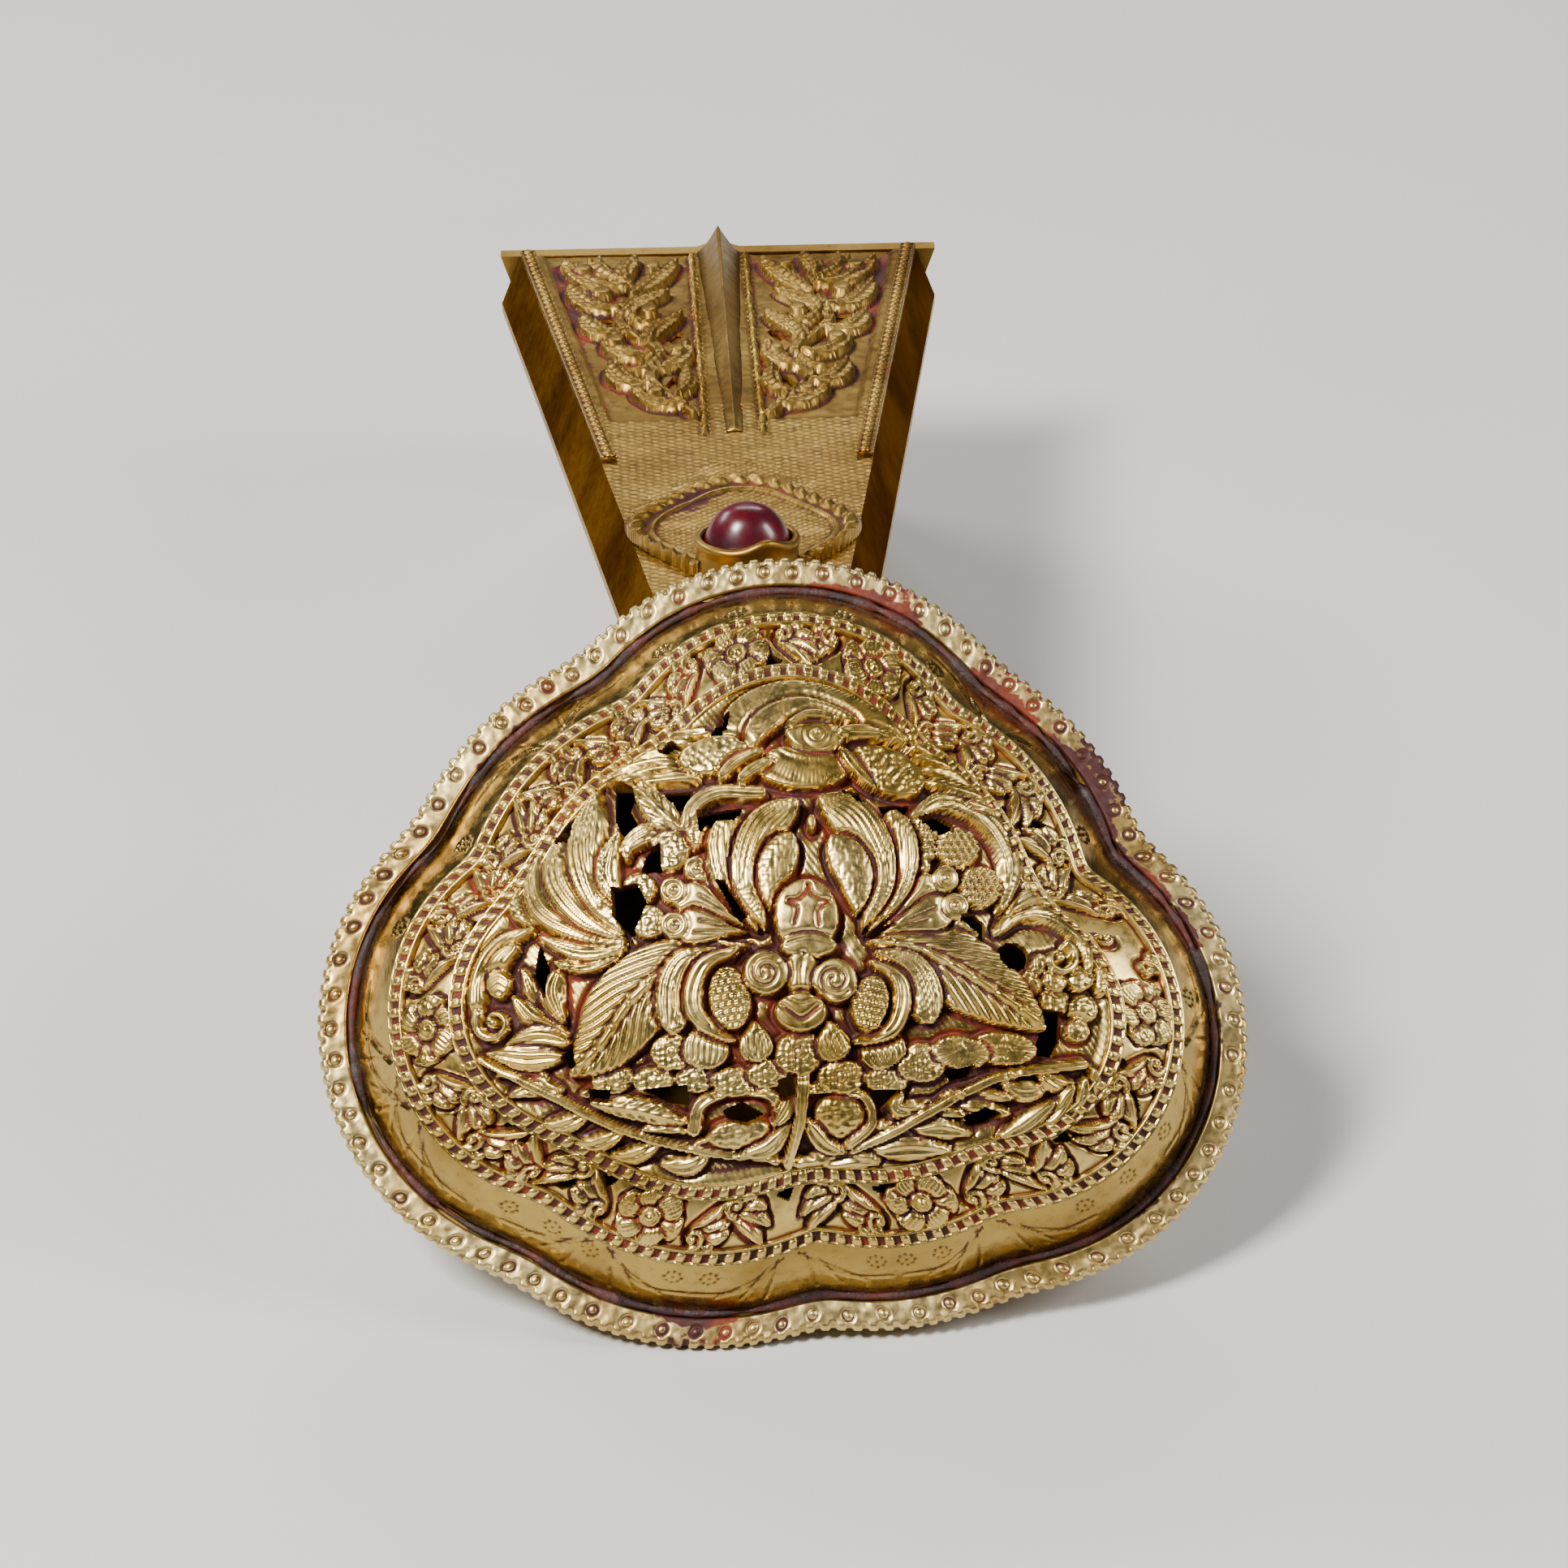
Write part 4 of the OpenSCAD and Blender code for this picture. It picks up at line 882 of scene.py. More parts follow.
def dome_flower(r):
    """The big flower: pebbled skirt, two great leaves, fans, petals, bud and curls."""
    for x, u, rx, ru in ((-14.6, -12.6, 1.9, 1.3), (-11.2, -12.9, 1.9, 1.3),
                         (-7.7, -12.8, 1.9, 1.3), (-4.6, -13.2, 2.0, 1.3),
                         (-1.8, -12.6, 1.8, 1.3), (-9.6, -10.6, 2.0, 1.6),
                         (0.9, -11, 2.3, 1.9), (4.3, -13, 2.2, 1.4), (8, -13.3, 2.0, 1.3),
                         (10.9, -12, 2.2, 1.7)):
        r.boss(x, u, rx, ru, 0, 0.4, 0.14, "pebble", size=0.42, cut=0.4)
    r.boss(17.8, -10.9, 3.0, 1.5, -4, 0.36, 0.2, "rays", size=26, cut=0.2)
    r.boss(14.2, -11.2, 2.5, 1.5, -8, 0.4, 0.25, "rays", size=22, cut=0.22)
    for x, u, rad in ((-9.4, 6.1, 1.75), (-12, 3, 1.5), (-11.3, 0.2, 1.5), (-6.8, 7.4, 1.2)):
        r.boss(x, u, rad, rad, 0, 0.5, 0.14, "pebble", size=0.42, cut=0.34)
    for x, u, rad in ((11.4, 6.4, 1.9), (14.5, 5.8, 1.85), (16.2, 2.6, 1.85)):
        r.boss(x, u, rad, rad, 0, 0.55, 0.16, "scale", size=0.6, cut=0.3)
    r.boss(14.4, -1, 1.9, 1.1, -12, 0.5, 0.2, "rays", size=24, cut=0.2)
    # great leaves
    r.blade([(-2.8, -2), (-8.4, -3), (-12.7, -6.2), (-15.3, -9.6), (-18.1, -12.3)], 3.35,
            0.6, 0.4, 0.6, 0.8, 2.3, pitch=1.55, rib=0.34, knots=2.3, cut=0.3)
    r.blade([(6.6, -1.9), (11.6, -3.1), (16.4, -5.8), (21.5, -9.5)], 3.15, 0.6, 0.4, 0.5,
            0.8, 2.3, pitch=1.55, rib=0.34, knots=2.3, cut=0.3)
    # lower petals
    for points, half, lines in (([(-6.4, -7.8), (-6.8, -10), (-6.9, -12.1)], 1.95, 8),
                                ([(-3, -8.2), (-2.8, -10), (-2.6, -11.6)], 1.5, 6),
                                ([(3.2, -8.4), (3.6, -10.2), (4.2, -11.6)], 1.5, 6),
                                ([(6, -8.8), (7.4, -10.4), (8.2, -12.3)], 2.0, 8)):
        r.blade(points, half, 0.62, 0.3, 0.66, 0.4, lines=lines, cut=0.24)
    r.blade([(-4.6, -2.4), (-8.6, -3.8), (-9.6, -9.2)], 1.7, 0.75, 0.3, 0.66, 0.45, lines=7,
            cut=0.24, ditch=0.6)
    r.blade([(7.2, -2.8), (10.2, -4.4), (11.7, -8.8)], 1.75, 0.75, 0.3, 0.66, 0.45, lines=8,
            cut=0.24, ditch=0.6)
    r.blade([(-4, -2.4), (-7.1, -4), (-7.6, -7.6), (-4.4, -10)], 0.85, 0.85, 0.25, 0.5, 0.4,
            lines=2, ditch=0.7)
    r.blade([(6.8, -3.6), (9.2, -5.6), (8.6, -9), (5.2, -10.3)], 0.85, 0.85, 0.25, 0.5, 0.4,
            lines=2, ditch=0.7)
    r.boss(-4.8, -6.4, 1.8, 2.8, 8, 0.8, 0.3, "scale", size=0.6, cut=0.16, ditch=0.9)
    r.boss(6.7, -7.1, 1.65, 2.5, -14, 0.8, 0.3, "scale", size=0.6, cut=0.16, ditch=0.9)
    # fans with ring punches
    for apex, tips in (((-2, -1.1), ((-7.2, 4.4), (-9.2, 2.7), (-9.2, -0.2))),
                       ((6.6, -1.7), ((11, 4.1), (13.3, 3.2), (14, 0.9)))):
        for x, u in tips:
            r.blade([apex, ((apex[0] + x) / 2, (apex[1] + u) / 2), (x, u)], 1.5, 0.7, 0.15,
                    0.78, 0.65, ditch=0.55)
            r.boss(x, u, 1.2, 1.2, 0, 0.78, 0.15, ditch=0.2)
            r.dot(x, u, 0.52, 0.12, 0.3)
            for side in (-0.5, 0.5):
                r.score([((apex[0] + 3 * x) / 4 + side * 0.6, (apex[1] + 3 * u) / 4 + side),
                         apex], 0.12, 0.24, 0.3)
    # tall petals, from the outside in
    r.blade([(-2.2, -1.2), (-4.1, 3.4), (-4.4, 9)], 2.15, 0.8, 0.3, 0.7, 0.5, lines=9,
            cut=0.24, ditch=0.7)
    r.blade([(6.6, -1.6), (9.1, 3.2), (9.1, 9)], 1.95, 0.8, 0.3, 0.7, 0.5, lines=8,
            cut=0.24, ditch=0.7)
    r.blade([(-1.7, -1), (-2.9, 3.4), (-1.5, 7.6), (1.4, 10)], 1.85, 0.95, 0.3, 0.62, 0.55,
            lines=8, cut=0.22, ditch=0.8)
    r.blade([(6.2, -1.2), (7.7, 3.2), (6.2, 7.8), (3, 10.3)], 2.0, 0.95, 0.3, 0.64, 0.55,
            lines=8, cut=0.22, ditch=0.8)
    for points, half in (([(-1.2, 0.6), (-0.8, 4), (0.7, 7.3)], 1.6),
                         ([(5.9, 0.2), (5.7, 3.8), (4, 7)], 1.7)):
        k, inside = r.blade(points, half, 0.75, 0.3, 0.6, 0.5, ditch=1.0)
        grain = pebbles(r.x[k], r.u[k], 0.42)
        r.h[k] -= np.where(inside > 0.2, 0.16 * grain, 0)
    r.boss(2.4, 8.2, 0.5, 0.9, 0, 0.6, 0.2)
    # bud with a star
    r.boss(1.7, 0.2, 2.75, 3.2, 0, 0.95, 0.45, ditch=1.1)
    star = [(0.1, 1.5), (1.4, 1.8), (1.9, 3), (2.4, 1.8), (3.7, 1.4), (2.7, 0.6), (2.7, -0.8)]
    for a, b in zip(star, star[1:]):
        mid = ((a[0] + b[0]) / 2 * 0.86 + 0.28, (a[1] + b[1]) / 2 * 0.86 + 0.12)
        r.score([a, mid, b], 0.17, 0.34, 1.0)
    r.score([(0.1, 1.5), (0.9, 0.8), (0.6, -0.6)], 0.17, 0.34, 1.0)
    r.boss(1.8, -2.3, 2.6, 1.1, 0, 1.0, 0.3, ditch=0.3)
    r.score([(-0.3, -2.2), (1.7, -1.7), (3.9, -2.2)], 0.1, 0.16)
    # stalk, curls and the round boss under them
    r.blade([(1.3, -3), (1.1, -4.8), (1, -7)], 1.5, 0.85, 0.2, 0.3, 0.5, lines=2, cut=0.14)
    scored_curl(r, -1.8, -4.4, 1.95, 1)
    scored_curl(r, 3.9, -5.2, 1.95, -1)
    r.boss(1, -7.7, 2.3, 1.7, 0, 0.9, 0.35, ditch=0.5)
    r.score([(-0.7, -7), (1, -8.2), (2.7, -7.1)], 0.2, 0.34, 0.8)
    r.score([(-0.2, -6.5), (1, -6.9), (2.2, -6.6)], 0.1, 0.18)


def dome():
    """Domed middle: height 0.4 + 4.4 q^0.85 over the inner bead row, q falling from 1 in the
    middle to 0 on an oval 58 by 48 mm, and fading out at the row; the chasing rides on it."""
    step = 0.15
    x, u = np.meshgrid(np.arange(-30, 32.5, step), np.arange(-27, 24.5, step), indexing="ij")
    depth = INNER_ROW - lobe_gap(x, u, INNER_BLEND)
    r = Relief(x, u, -0.3)
    hatch = wave(2 * PI * (x + 0.7 * u) / 0.55) ** 2
    r.h -= (0.08 * hatch).ravel()
    edge = np.clip((1.6 - depth.ravel()) / 1.0, 0, 1)
    r.h += 0.5 * smooth(edge)
    dome_foliage(r)
    dome_flower(r)
    dome_bird(r)
    dome_piercings(r)
    rise = r.grid("h") + 0.02 * drift(x, u, 1.3) + 0.012 * drift(x, u, 0.4, 2)
    rise = rise * smooth((depth + 0.6) / 1.2)
    hollow = hollows(rise, 3, 0.16)
    deep = hollows(rise, 8, 0.36)
    solid = np.minimum(r.grid("solid"), depth + 0.3)
    wander = 0.5 + 0.5 * drift(x, u, 7, 5)
    stain = smooth(1.5 - np.hypot((x - 5) / 15, (u - 1) / 13)) + smooth(
        1.5 - np.hypot((x - 1) / 24, (u + 16) / 6)) + smooth(
        1.2 - np.hypot((x + 21) / 7, (u + 7) / 6))
    resin = 0.7 * r.grid("lac") + (0.1 + 0.55 * np.clip(stain, 0, 1)) * smooth(hollow * 2.5)
    resin = resin + 0.16 * wander * smooth(deep * 2) - 0.1
    xs, us, inside = snapped(x, u, solid, step)
    q = np.clip(1 - ((xs - 0.5) / 29) ** 2 - ((us + 2.5) / 24) ** 2, 0, 1)
    inward = np.clip(INNER_ROW - lobe_gap(xs, us, INNER_BLEND), 0, None)
    base = ROW_H + (0.4 + 4.4 * q ** 0.85) * (1 - np.exp(-inward / 2.2))
    front, back = raised(on_head(xs, us, base), rise, DOME_SHEET)
    shell("dome", front, back, all_four(inside), GOLD, parts=3,
          hollow=np.clip(0.6 * hollow + 0.6 * deep, -1, 1), lac=resin, stands_for=("cover",))


# ---- Cover: frieze, wall, bead rows ----

def band(count, grows, ns, blend=OUTER_BLEND):
    """Grid of head points round the outline: at each even angle, the outline grown by each
    of grows at the height of each of ns. Also the run round the middle line at each point,
    the angles, and the middle line's length."""
    ang, length = even_angles(count, grows[len(grows) // 2])
    x, u = ring(ang[:, None], grows[None, :], blend)
    s = np.repeat(np.arange(count)[:, None] / count * length, len(grows), 1)
    return x, u, np.broadcast_to(ns, x.shape), s, ang, length


def run_at(degrees, ang, length):
    """Run round a band at the point seen from MIDDLE in this direction."""
    a = math.radians(degrees) % (2 * PI)
    return np.interp(a, ang, np.arange(len(ang)) / len(ang) * length)


# Directions, in degrees round MIDDLE, of the frieze's flowers and piercings and the wall's
# pinches and rosettes.
FLOWERS = (192.5, 347.5, 242.5, 296, 97.5, 70.5)
FRIEZE_HOLES = (22, 118, 152, 171, 208, 226, 262, 283, 318, 333, 5, 84)
PINCHES = (45.5, 135.5, 196.0, 203.0, 237.0, 270.0, 305.0, 344.0)
ROSETTES = (60, 78, 96, 110, 222, 229, 236, 285, 290, 296, 318, 325, 333, 352, 20, 160, 175,
            250, 256)


def frieze():
    """Sloping ring between the bead rows: six flowers, curled leaves, small piercings."""
    v = np.linspace(0, 1, 40)
    x, u, n, s, ang, length = band(1500, 0.15 + (INNER_ROW - 0.3) * v,
                                   WALL_H - 0.05 + 3.05 * v + 0.35 * np.sin(PI * v),
                                   OUTER_BLEND + (INNER_BLEND - OUTER_BLEND) * v[None, :])
    w = np.repeat(FRIEZE_HALF - 2 * FRIEZE_HALF * v[None, :], len(ang), 0)
    r = Relief(s, w, -0.12)
    for deg in FRIEZE_HOLES:
        c = run_at(deg, ang, length)
        r.pierce((c - 0.9, 0.9), (c + 0.1, 1.5), (c + 1.1, 0.6), (c + 0.3, -0.2))
        r.pierce((c + 2.2, -1.5), (c + 3.1, -0.9), (c + 3.4, -1.8))
    spots = sorted(run_at(d, ang, length) for d in FLOWERS)
    for i, a in enumerate(spots):
        b = spots[(i + 1) % len(spots)]
        gap = (b - a) % length
        for side, start in ((1, a), (-1, b)):
            count = max(1, int((gap / 2 - 3.2) / 3.0))
            for j in range(count):
                c = (start + side * (3.4 + 3.0 * j)) % length
                flip = 1 if j % 2 else -1
                for lean, half, reach in ((1.3, 0.8, 3.2), (0.5, 0.75, 3.8), (-0.4, 0.7, 3.4),
                                          (-1.2, 0.6, 2.4)):
                    y0, y1 = -1.5 * flip * (1 - abs(lean) * 0.3), 1.7 * flip * lean
                    pts = [(c, y0), (c + side * 0.5 * reach, (y0 + y1) / 2 - 0.5 * flip),
                           (c + side * reach, y1)]
                    if 0.8 < min(p[0] for p in pts) and max(p[0] for p in pts) < length - 0.8:
                        r.blade(pts, half, 0.32, 0.22, 0.45, 0.6, lines=3, cut=0.22,
                                ditch=0.35)
                r.volute(c + side * 0.5, -1.3 * flip, 0.75, 1.2, 90, side * flip, 0.3, 0.3)
    for c in spots:
        for i in range(6):
            a = PI / 3 * i + 0.3
            tip = (c + 2.9 * math.cos(a), 2.45 * math.sin(a))
            r.blade([(c + 0.3 * math.cos(a), 0.3 * math.sin(a)),
                     (c + 1.5 * math.cos(a), 1.4 * math.sin(a)), tip], 1.3, 0.42, 0.14, 0.66,
                    0.42, lines=7, cut=0.2, ditch=0.4)
        r.boss(c, 0, 0.95, 0.85, 0, 0.55, 0.2)
        r.dot(c, 0, 0.5, 0.12, 0.28)
    rise = r.grid("h") * smooth(np.minimum(v, 1 - v) / 0.07)[None, :]
    hollow = hollows(rise, 3, 0.15, True)
    height = np.sin(ang)[:, None]
    resin = 0.38 + 0.3 * smooth(0.5 + 0.6 * height) + 0.3 * smooth(-height - 0.2)
    front, back = raised(on_head(x, u, n), rise, COVER_SHEET, wrap=True)
    shell("frieze", front, back, all_four(r.grid("solid") > 0, True), GOLD, wrap=True,
          parts=2, hollow=hollow, lac=resin * smooth(3 * hollow), stands_for=("cover",))


def rosette(r, s, w):
    """Eight small dents round one."""
    size = 0.7
    for i in range(8):
        a = PI / 4 * i
        r.dot(s + size * math.cos(a), w + size * math.sin(a), 0.17, -0.26)
    r.dot(s, w, 0.18, -0.26)


def wall():
    """Plain steep wall with fans of chased arcs from the pinches and dotted rosettes."""
    v = np.linspace(0, 1, 36)
    x, u, n, s, ang, length = band(1340, WALL_FOOT * (1 - v) + 0.3 * np.sin(PI * v) + 0.05,
                                   -0.5 + (WALL_H + 0.45) * v, 0.5)
    w = np.repeat(WALL_RUN * v[None, :], len(ang), 0)
    r = Relief(s, w)
    for deg in PINCHES:
        c = run_at(deg, ang, length)
        for side in (-1, 1):
            for i in range(4):
                far, top = 2.2 + 2.1 * i, 5.6 - 1.1 * i
                pts = [(c + side * 0.6, 5.9), (c + side * 0.5 * far, top + 0.7),
                       (c + side * far, 1.0 + 0.6 * i)]
                if 1 < min(p[0] for p in pts) and max(p[0] for p in pts) < length - 1:
                    r.score(pts, 0.12, 0.12, 0.2)
    for deg in ROSETTES:
        rosette(r, run_at(deg, ang, length), 4.7)
    rise = r.grid("h") + 0.05 * drift(s, w, 4, 1) + 0.025 * drift(s, w, 1.5, 2)
    rise = rise * smooth(np.minimum(v, 1 - v) / 0.05)[None, :]
    hollow = hollows(rise, 3, 0.12, True)
    foot = smooth((1.2 - w) / 1.2) * (0.35 + 0.25 * drift(s, w, 5, 4))
    ground = on_head(x, u, n)
    front, back = raised(ground, rise, COVER_SHEET, ground - ground.mean((0, 1)), True)
    keep = np.ones((len(ang), len(v) - 1), bool)
    shell("wall", front, back, keep, [wall_gilt_painted_shade, sawn, inner_gilt], wrap=True,
          hollow=hollow, lac=r.grid("lac") + foot, stands_for=("cover",))


def bead_row(name, grow, n, tilt, node):
    """Beaded strip on the outline: two raised lines at |v| = 0.86 and a row of beads
    max(0, 1 - (3.2 f)^4 - (v / 0.62)^4)^0.4 between them, f running across each pitch."""
    count = 1760
    ang, length = even_angles(count, grow)
    beads = round(length / BEAD_PITCH)
    f = (np.arange(count) / count * beads) % 1 - 0.5
    half, v = 0.72, np.concatenate([[-1.12], np.linspace(-1, 1, 15), [1.12]])
    fv, vv = np.meshgrid(f, v, indexing="ij")
    rise = 0.4 * np.exp(-((np.abs(vv) - 0.86) / 0.15) ** 2)
    size = np.clip(1 - (3.2 * fv) ** 4 - (vv / 0.62) ** 4, 0, 1)
    which = np.floor(np.arange(count) / count * beads)
    rise = rise + (0.36 + 0.1 * hashed(which, 1, 3))[:, None] * size ** 0.4
    rise = rise - 0.35 * (np.abs(vv) > 1.05) + 0.1
    back = np.array([0.9, 0.3, -0.3, -0.9])
    vb = np.concatenate([v, back])
    rise = np.hstack([rise, np.full((count, 4), -0.45)])
    c, s = math.cos(math.radians(tilt)), math.sin(math.radians(tilt))
    grows = grow + vb[None, :] * half * c + rise * s
    ns = n - vb[None, :] * half * s + rise * c
    x, u = ring(ang[:, None], grows, OUTER_BLEND if grow == 0 else INNER_BLEND)
    hollow = hollows(rise, 3, 0.25, True)
    # Painted shade: the low grooves between the beads get a high hollow value, which darkens
    # them.
    hollow = np.where((np.abs(vb)[None, :] < 0.75) & (rise < 0.25), 0.9, hollow)
    a, b = np.cos(ang)[:, None], np.sin(ang)[:, None]
    resin = (0.42 + 0.4 * np.clip(0.7 + 0.8 * a - b, 0, 1)) * (hollow > 0.15)
    hoop(name, on_head(x, u, ns), [sheet_gilt], hollow=hollow,
         lac=np.broadcast_to(resin, hollow.shape), stands_for=(node,))


# ---- Rim ----

def rim():
    """Flat band with a row of ring punches and a toothed edge; the section is a closed loop
    from the inner edge over the front, down the toothed corner and back behind."""
    front = np.linspace(RIM_IN + 0.05, RIM_OUT - 0.42, 20)
    corner = np.array([RIM_OUT - 0.28, RIM_OUT - 0.12, RIM_OUT, RIM_OUT, RIM_OUT - 0.1])
    back = np.array([RIM_OUT - 0.4, RIM_OUT - 1.2, RIM_IN + 0.6, RIM_IN + 0.1, RIM_IN])
    ns = np.concatenate([np.full(20, -0.06), [-0.12, -0.26, -0.48, -0.85, -1.12],
                         [-1.18, -1.2, -1.2, -1.12, -0.6]])
    ns[0] = -0.2
    grows = np.concatenate([front, corner, back])
    count = 1900
    ang, length = even_angles(count, RIM_OUT - 1)
    s = np.repeat((np.arange(count) / count * length)[:, None], len(grows), 1)
    w = np.repeat(grows[None, :], count, 0)
    r = Relief(s, w)
    punches = round(length / PUNCH_PITCH)
    row, ring_r = 5.72, 0.46
    for i in range(punches):
        at = (i + 0.5 + 0.16 * math.sin(7.1 * i)) * length / punches
        lift = 0.12 * math.sin(3.3 * i + 1)
        k = r.window(np.array([[at, row + lift]]), 1.2)
        d = np.hypot(r.x[k] - at, r.u[k] - row - lift)
        r.h[k] += -0.16 * np.exp(-((d - ring_r) / 0.13) ** 2) + 0.06 * np.exp(
            -(d / 0.28) ** 2)
        r.lac[k] = np.maximum(r.lac[k], smooth((0.62 - d) / 0.15)
                              * (0.6 * hashed(np.float64(i), 3, 1) ** 2))
    rise = r.grid("h") * (w < RIM_OUT - 0.3)
    rise = rise + 0.055 * drift(s, w * 2, 1.8, 4) + 0.035 * drift(s, w, 0.6, 6)
    teeth = round(length / TOOTH_PITCH)
    wave = np.cos(2 * PI * (np.arange(count) / count * teeth + 0.12 * np.sin(
        np.arange(count) * 0.05)))
    notch = smooth((0.25 + wave) / 1.0)[:, None]
    bite = np.zeros(len(grows))
    bite[16:26] = [0.02, 0.06, 0.12, 0.18, 0.24, 0.28, 0.3, 0.22, 0.1, 0.02]
    fronts = np.arange(len(grows)) < 22
    x, u = ring(ang[:, None], w - notch * bite, 0.5)
    n = ns + np.where(fronts, rise - 0.05, 0) - notch * 0.5 * bite * fronts
    # Painted shade: the hollow field is raised in the notches between the teeth, which darkens
    # them.
    hollow = hollows(rise, 3, 0.14, True) + 0.35 * notch * (
        bite > 0.05)
    a, b = np.cos(ang)[:, None], np.sin(ang)[:, None]
    inner = smooth((RIM_IN + 1.1 - w) / 1.0)
    patch = np.clip(drift(s, w, 6, 8) + 0.35 * a * (b > 0) + 0.1, 0, 1)
    resin = r.grid("lac") + inner * (0.24 + 0.5 * patch) + 0.6 * patch * smooth(
        b * a * 2 + 0.2)
    hoop("rim_band_punched", on_head(x, u, n), [rim_gilt], hollow=hollow, lac=resin,
         slot="gilt_rim", stands_for=("rim_band",))


def seam():
    """Lac run between wall and rim: a rough bead whose height wanders, gone at some gaps."""
    count = 900
    ang, length = even_angles(count, 4.1)
    run = np.arange(count) / count * length
    t = np.linspace(0, 2 * PI, 13)[:-1]
    fat = 0.75 + 0.35 * drift(run, 0 * run, 1.4, 3) + 0.25 * drift(run, 0 * run, 5, 4)
    gap = np.zeros(count)
    for deg, wide in ((158, 5), (168, 3), (128, 2), (30, 1.5), (200, 2), (262, 1.5)):
        gap += np.exp(-((np.degrees(ang) - deg) / wide) ** 2)
    fat = np.clip(fat, 0.35, 1.4) * (1 - 0.8 * np.clip(gap, 0, 1))
    low = -0.45 - 0.45 * np.clip(gap, 0, 1) + 0.12 * drift(run, 0 * run, 2.5, 6)
    grows = 4.12 + 0.5 * fat[:, None] * np.cos(t) * np.where(np.cos(t) > 0, 0.9, 1.0)
    ns = low[:, None] + 0.3 * fat[:, None] * np.sin(t)
    x, u = ring(ang[:, None], grows, 0.45)
    hoop("seam_lac_run", on_head(x, u, ns), [seam_red], slot="red_lac",
         stands_for=("seam_lac",))


# Painted shade and reflection: the smooth wall gets a darker copy of the chased gold, for the
# dark surroundings it reflects.
wall_gilt_painted_shade = gilt("wall_smooth_painted_shade", rgb(178, 150, 80), rgb(142, 114, 52), SHADE, 0.2, -0.08,
                   0.35, 0.8)
dome()
frieze()
wall()
bead_row("outer_beads", 0.0, WALL_H + 0.1, 38, "outer_bead_wire")
bead_row("inner_beads", INNER_ROW, ROW_H + 0.1, 26, "inner_bead_wire")
rim()
seam()


# ---- Other nodes: carried-over CAD pieces get their finish ----

def dress(material, *names):
    """Give carried-over nodes one finish."""
    for name in names:
        ob = frame["nodes"][name]
        ob.data.materials.clear()
        ob.data.materials.append(material)


garnet = Nodes("garnet")
depth_tone = garnet.noise(6, 2)
garnet_red = garnet.finish(
    Base_Color=garnet.mix(garnet.span(depth_tone, 0.35, 0.7), rgb(84, 4, 20), rgb(40, 0, 14)),
    Roughness=garnet.span(garnet.noise(1.5, 3), 0.3, 0.8, 0.24, 0.4))
garnet_red.node_tree.nodes["Principled BSDF"].inputs["Coat Weight"].default_value = 0.15
dress(garnet_red, "gem")
dress(seam_red, "gem_bed")
dress(handle_gilt, "cartouche_plate", "handle_top_left", "handle_top_right", "keel",
      "left_border", "right_border", "tail_plate", "tail_rib", "gem_bezel",
      "handle_back_plate", "tail_foot")
dress(handle_side_painted_shade, "handle_left_side", "handle_right_side")
dress(plain_gilt, "bowl", "bowl_edge_strip", "pan_lugs", "bowl_knuckles", "hinge_pin",
      "cover_collar", "cover_knuckle", "neck_socket", "tang", "neck_pins")
dress(inner_gilt, "incense_pan", "handle_core")


# ---- Handle ----

def half_at(t):
    """Half width of the handle: straight from ROOT_HALF at the neck to END_HALF."""
    return ROOT_HALF + (END_HALF - ROOT_HALF) * t / HANDLE_LEN


def handle_leafwork(r, side):
    """Leafy panel on one side of the keel, with its piercings."""
    for points in (((4.4, 47), (6.2, 50), (5.4, 52.5), (4, 50)),
                   ((8.6, 55.5), (10.6, 58), (9.4, 60.5), (8, 58)),
                   ((5, 61), (6.8, 63.5), (5.6, 66), (4.2, 64)),
                   ((11.6, 66), (13.4, 69), (12, 71.5), (10.8, 69)),
                   ((6, 73.5), (8, 76), (6.6, 78.5), (5.2, 76))):
        r.pierce(*[(side * x, t) for x, t in points])
    stalk = (3.6, 42), (7.6, 50), (6.6, 58), (10.4, 66), (8.6, 75), (13, 83.5)
    r.stem([(side * x, t) for x, t in stalk], 0.75, 0.35, 0.7, 0.14)
    for a, b, c, half in (((4, 43.5), (6.6, 44.6), (9.6, 48.4), 1.3),
                          ((5.4, 46), (4, 49.4), (4.2, 54), 1.1),
                          ((7.4, 49), (10, 50.4), (11.6, 55), 1.5),
                          ((7.4, 53), (5, 55.6), (3.8, 60.6), 1.4),
                          ((7, 57), (9.6, 57.4), (12.2, 61.4), 1.4),
                          ((7.6, 60), (6.8, 64), (4, 68.4), 1.4),
                          ((9.4, 63.6), (12.2, 63.6), (14.2, 68), 1.5),
                          ((10.2, 66.6), (9, 71), (5.2, 74.6), 1.6),
                          ((10, 69.4), (13, 71), (15.4, 76.6), 1.6),
                          ((9.2, 73), (7, 77.4), (4.2, 83.4), 1.5),
                          ((9.2, 75.6), (12.4, 77), (16, 83.6), 1.6),
                          ((9.6, 78), (9.6, 81), (8.4, 84.6), 1.3),
                          ((6.4, 57), (8, 53.4), (9.6, 52.6), 0.9),
                          ((9.8, 69), (8.4, 66), (6.6, 65.4), 0.9),
                          ((9.6, 77), (12, 80.6), (12.2, 84.4), 1.1)):
        r.blade([(side * x, t) for x, t in (a, b, c)], half, 0.3, 0.3, 0.5, 0.6, 0.9,
                pitch=1.15, rib=0.2, cut=0.26, ditch=0.35)
    for x, t, rad in ((7.2, 47, 0.9), (10.8, 60.6, 1.0), (7.4, 68.6, 1.0), (12, 74, 1.1),
                      (4.8, 57.6, 0.8), (13.8, 80.6, 1.0), (6.8, 81, 0.9)):
        r.boss(side * x, t, rad, rad * 1.3, 0, 0.6, 0.4, ditch=0.3)


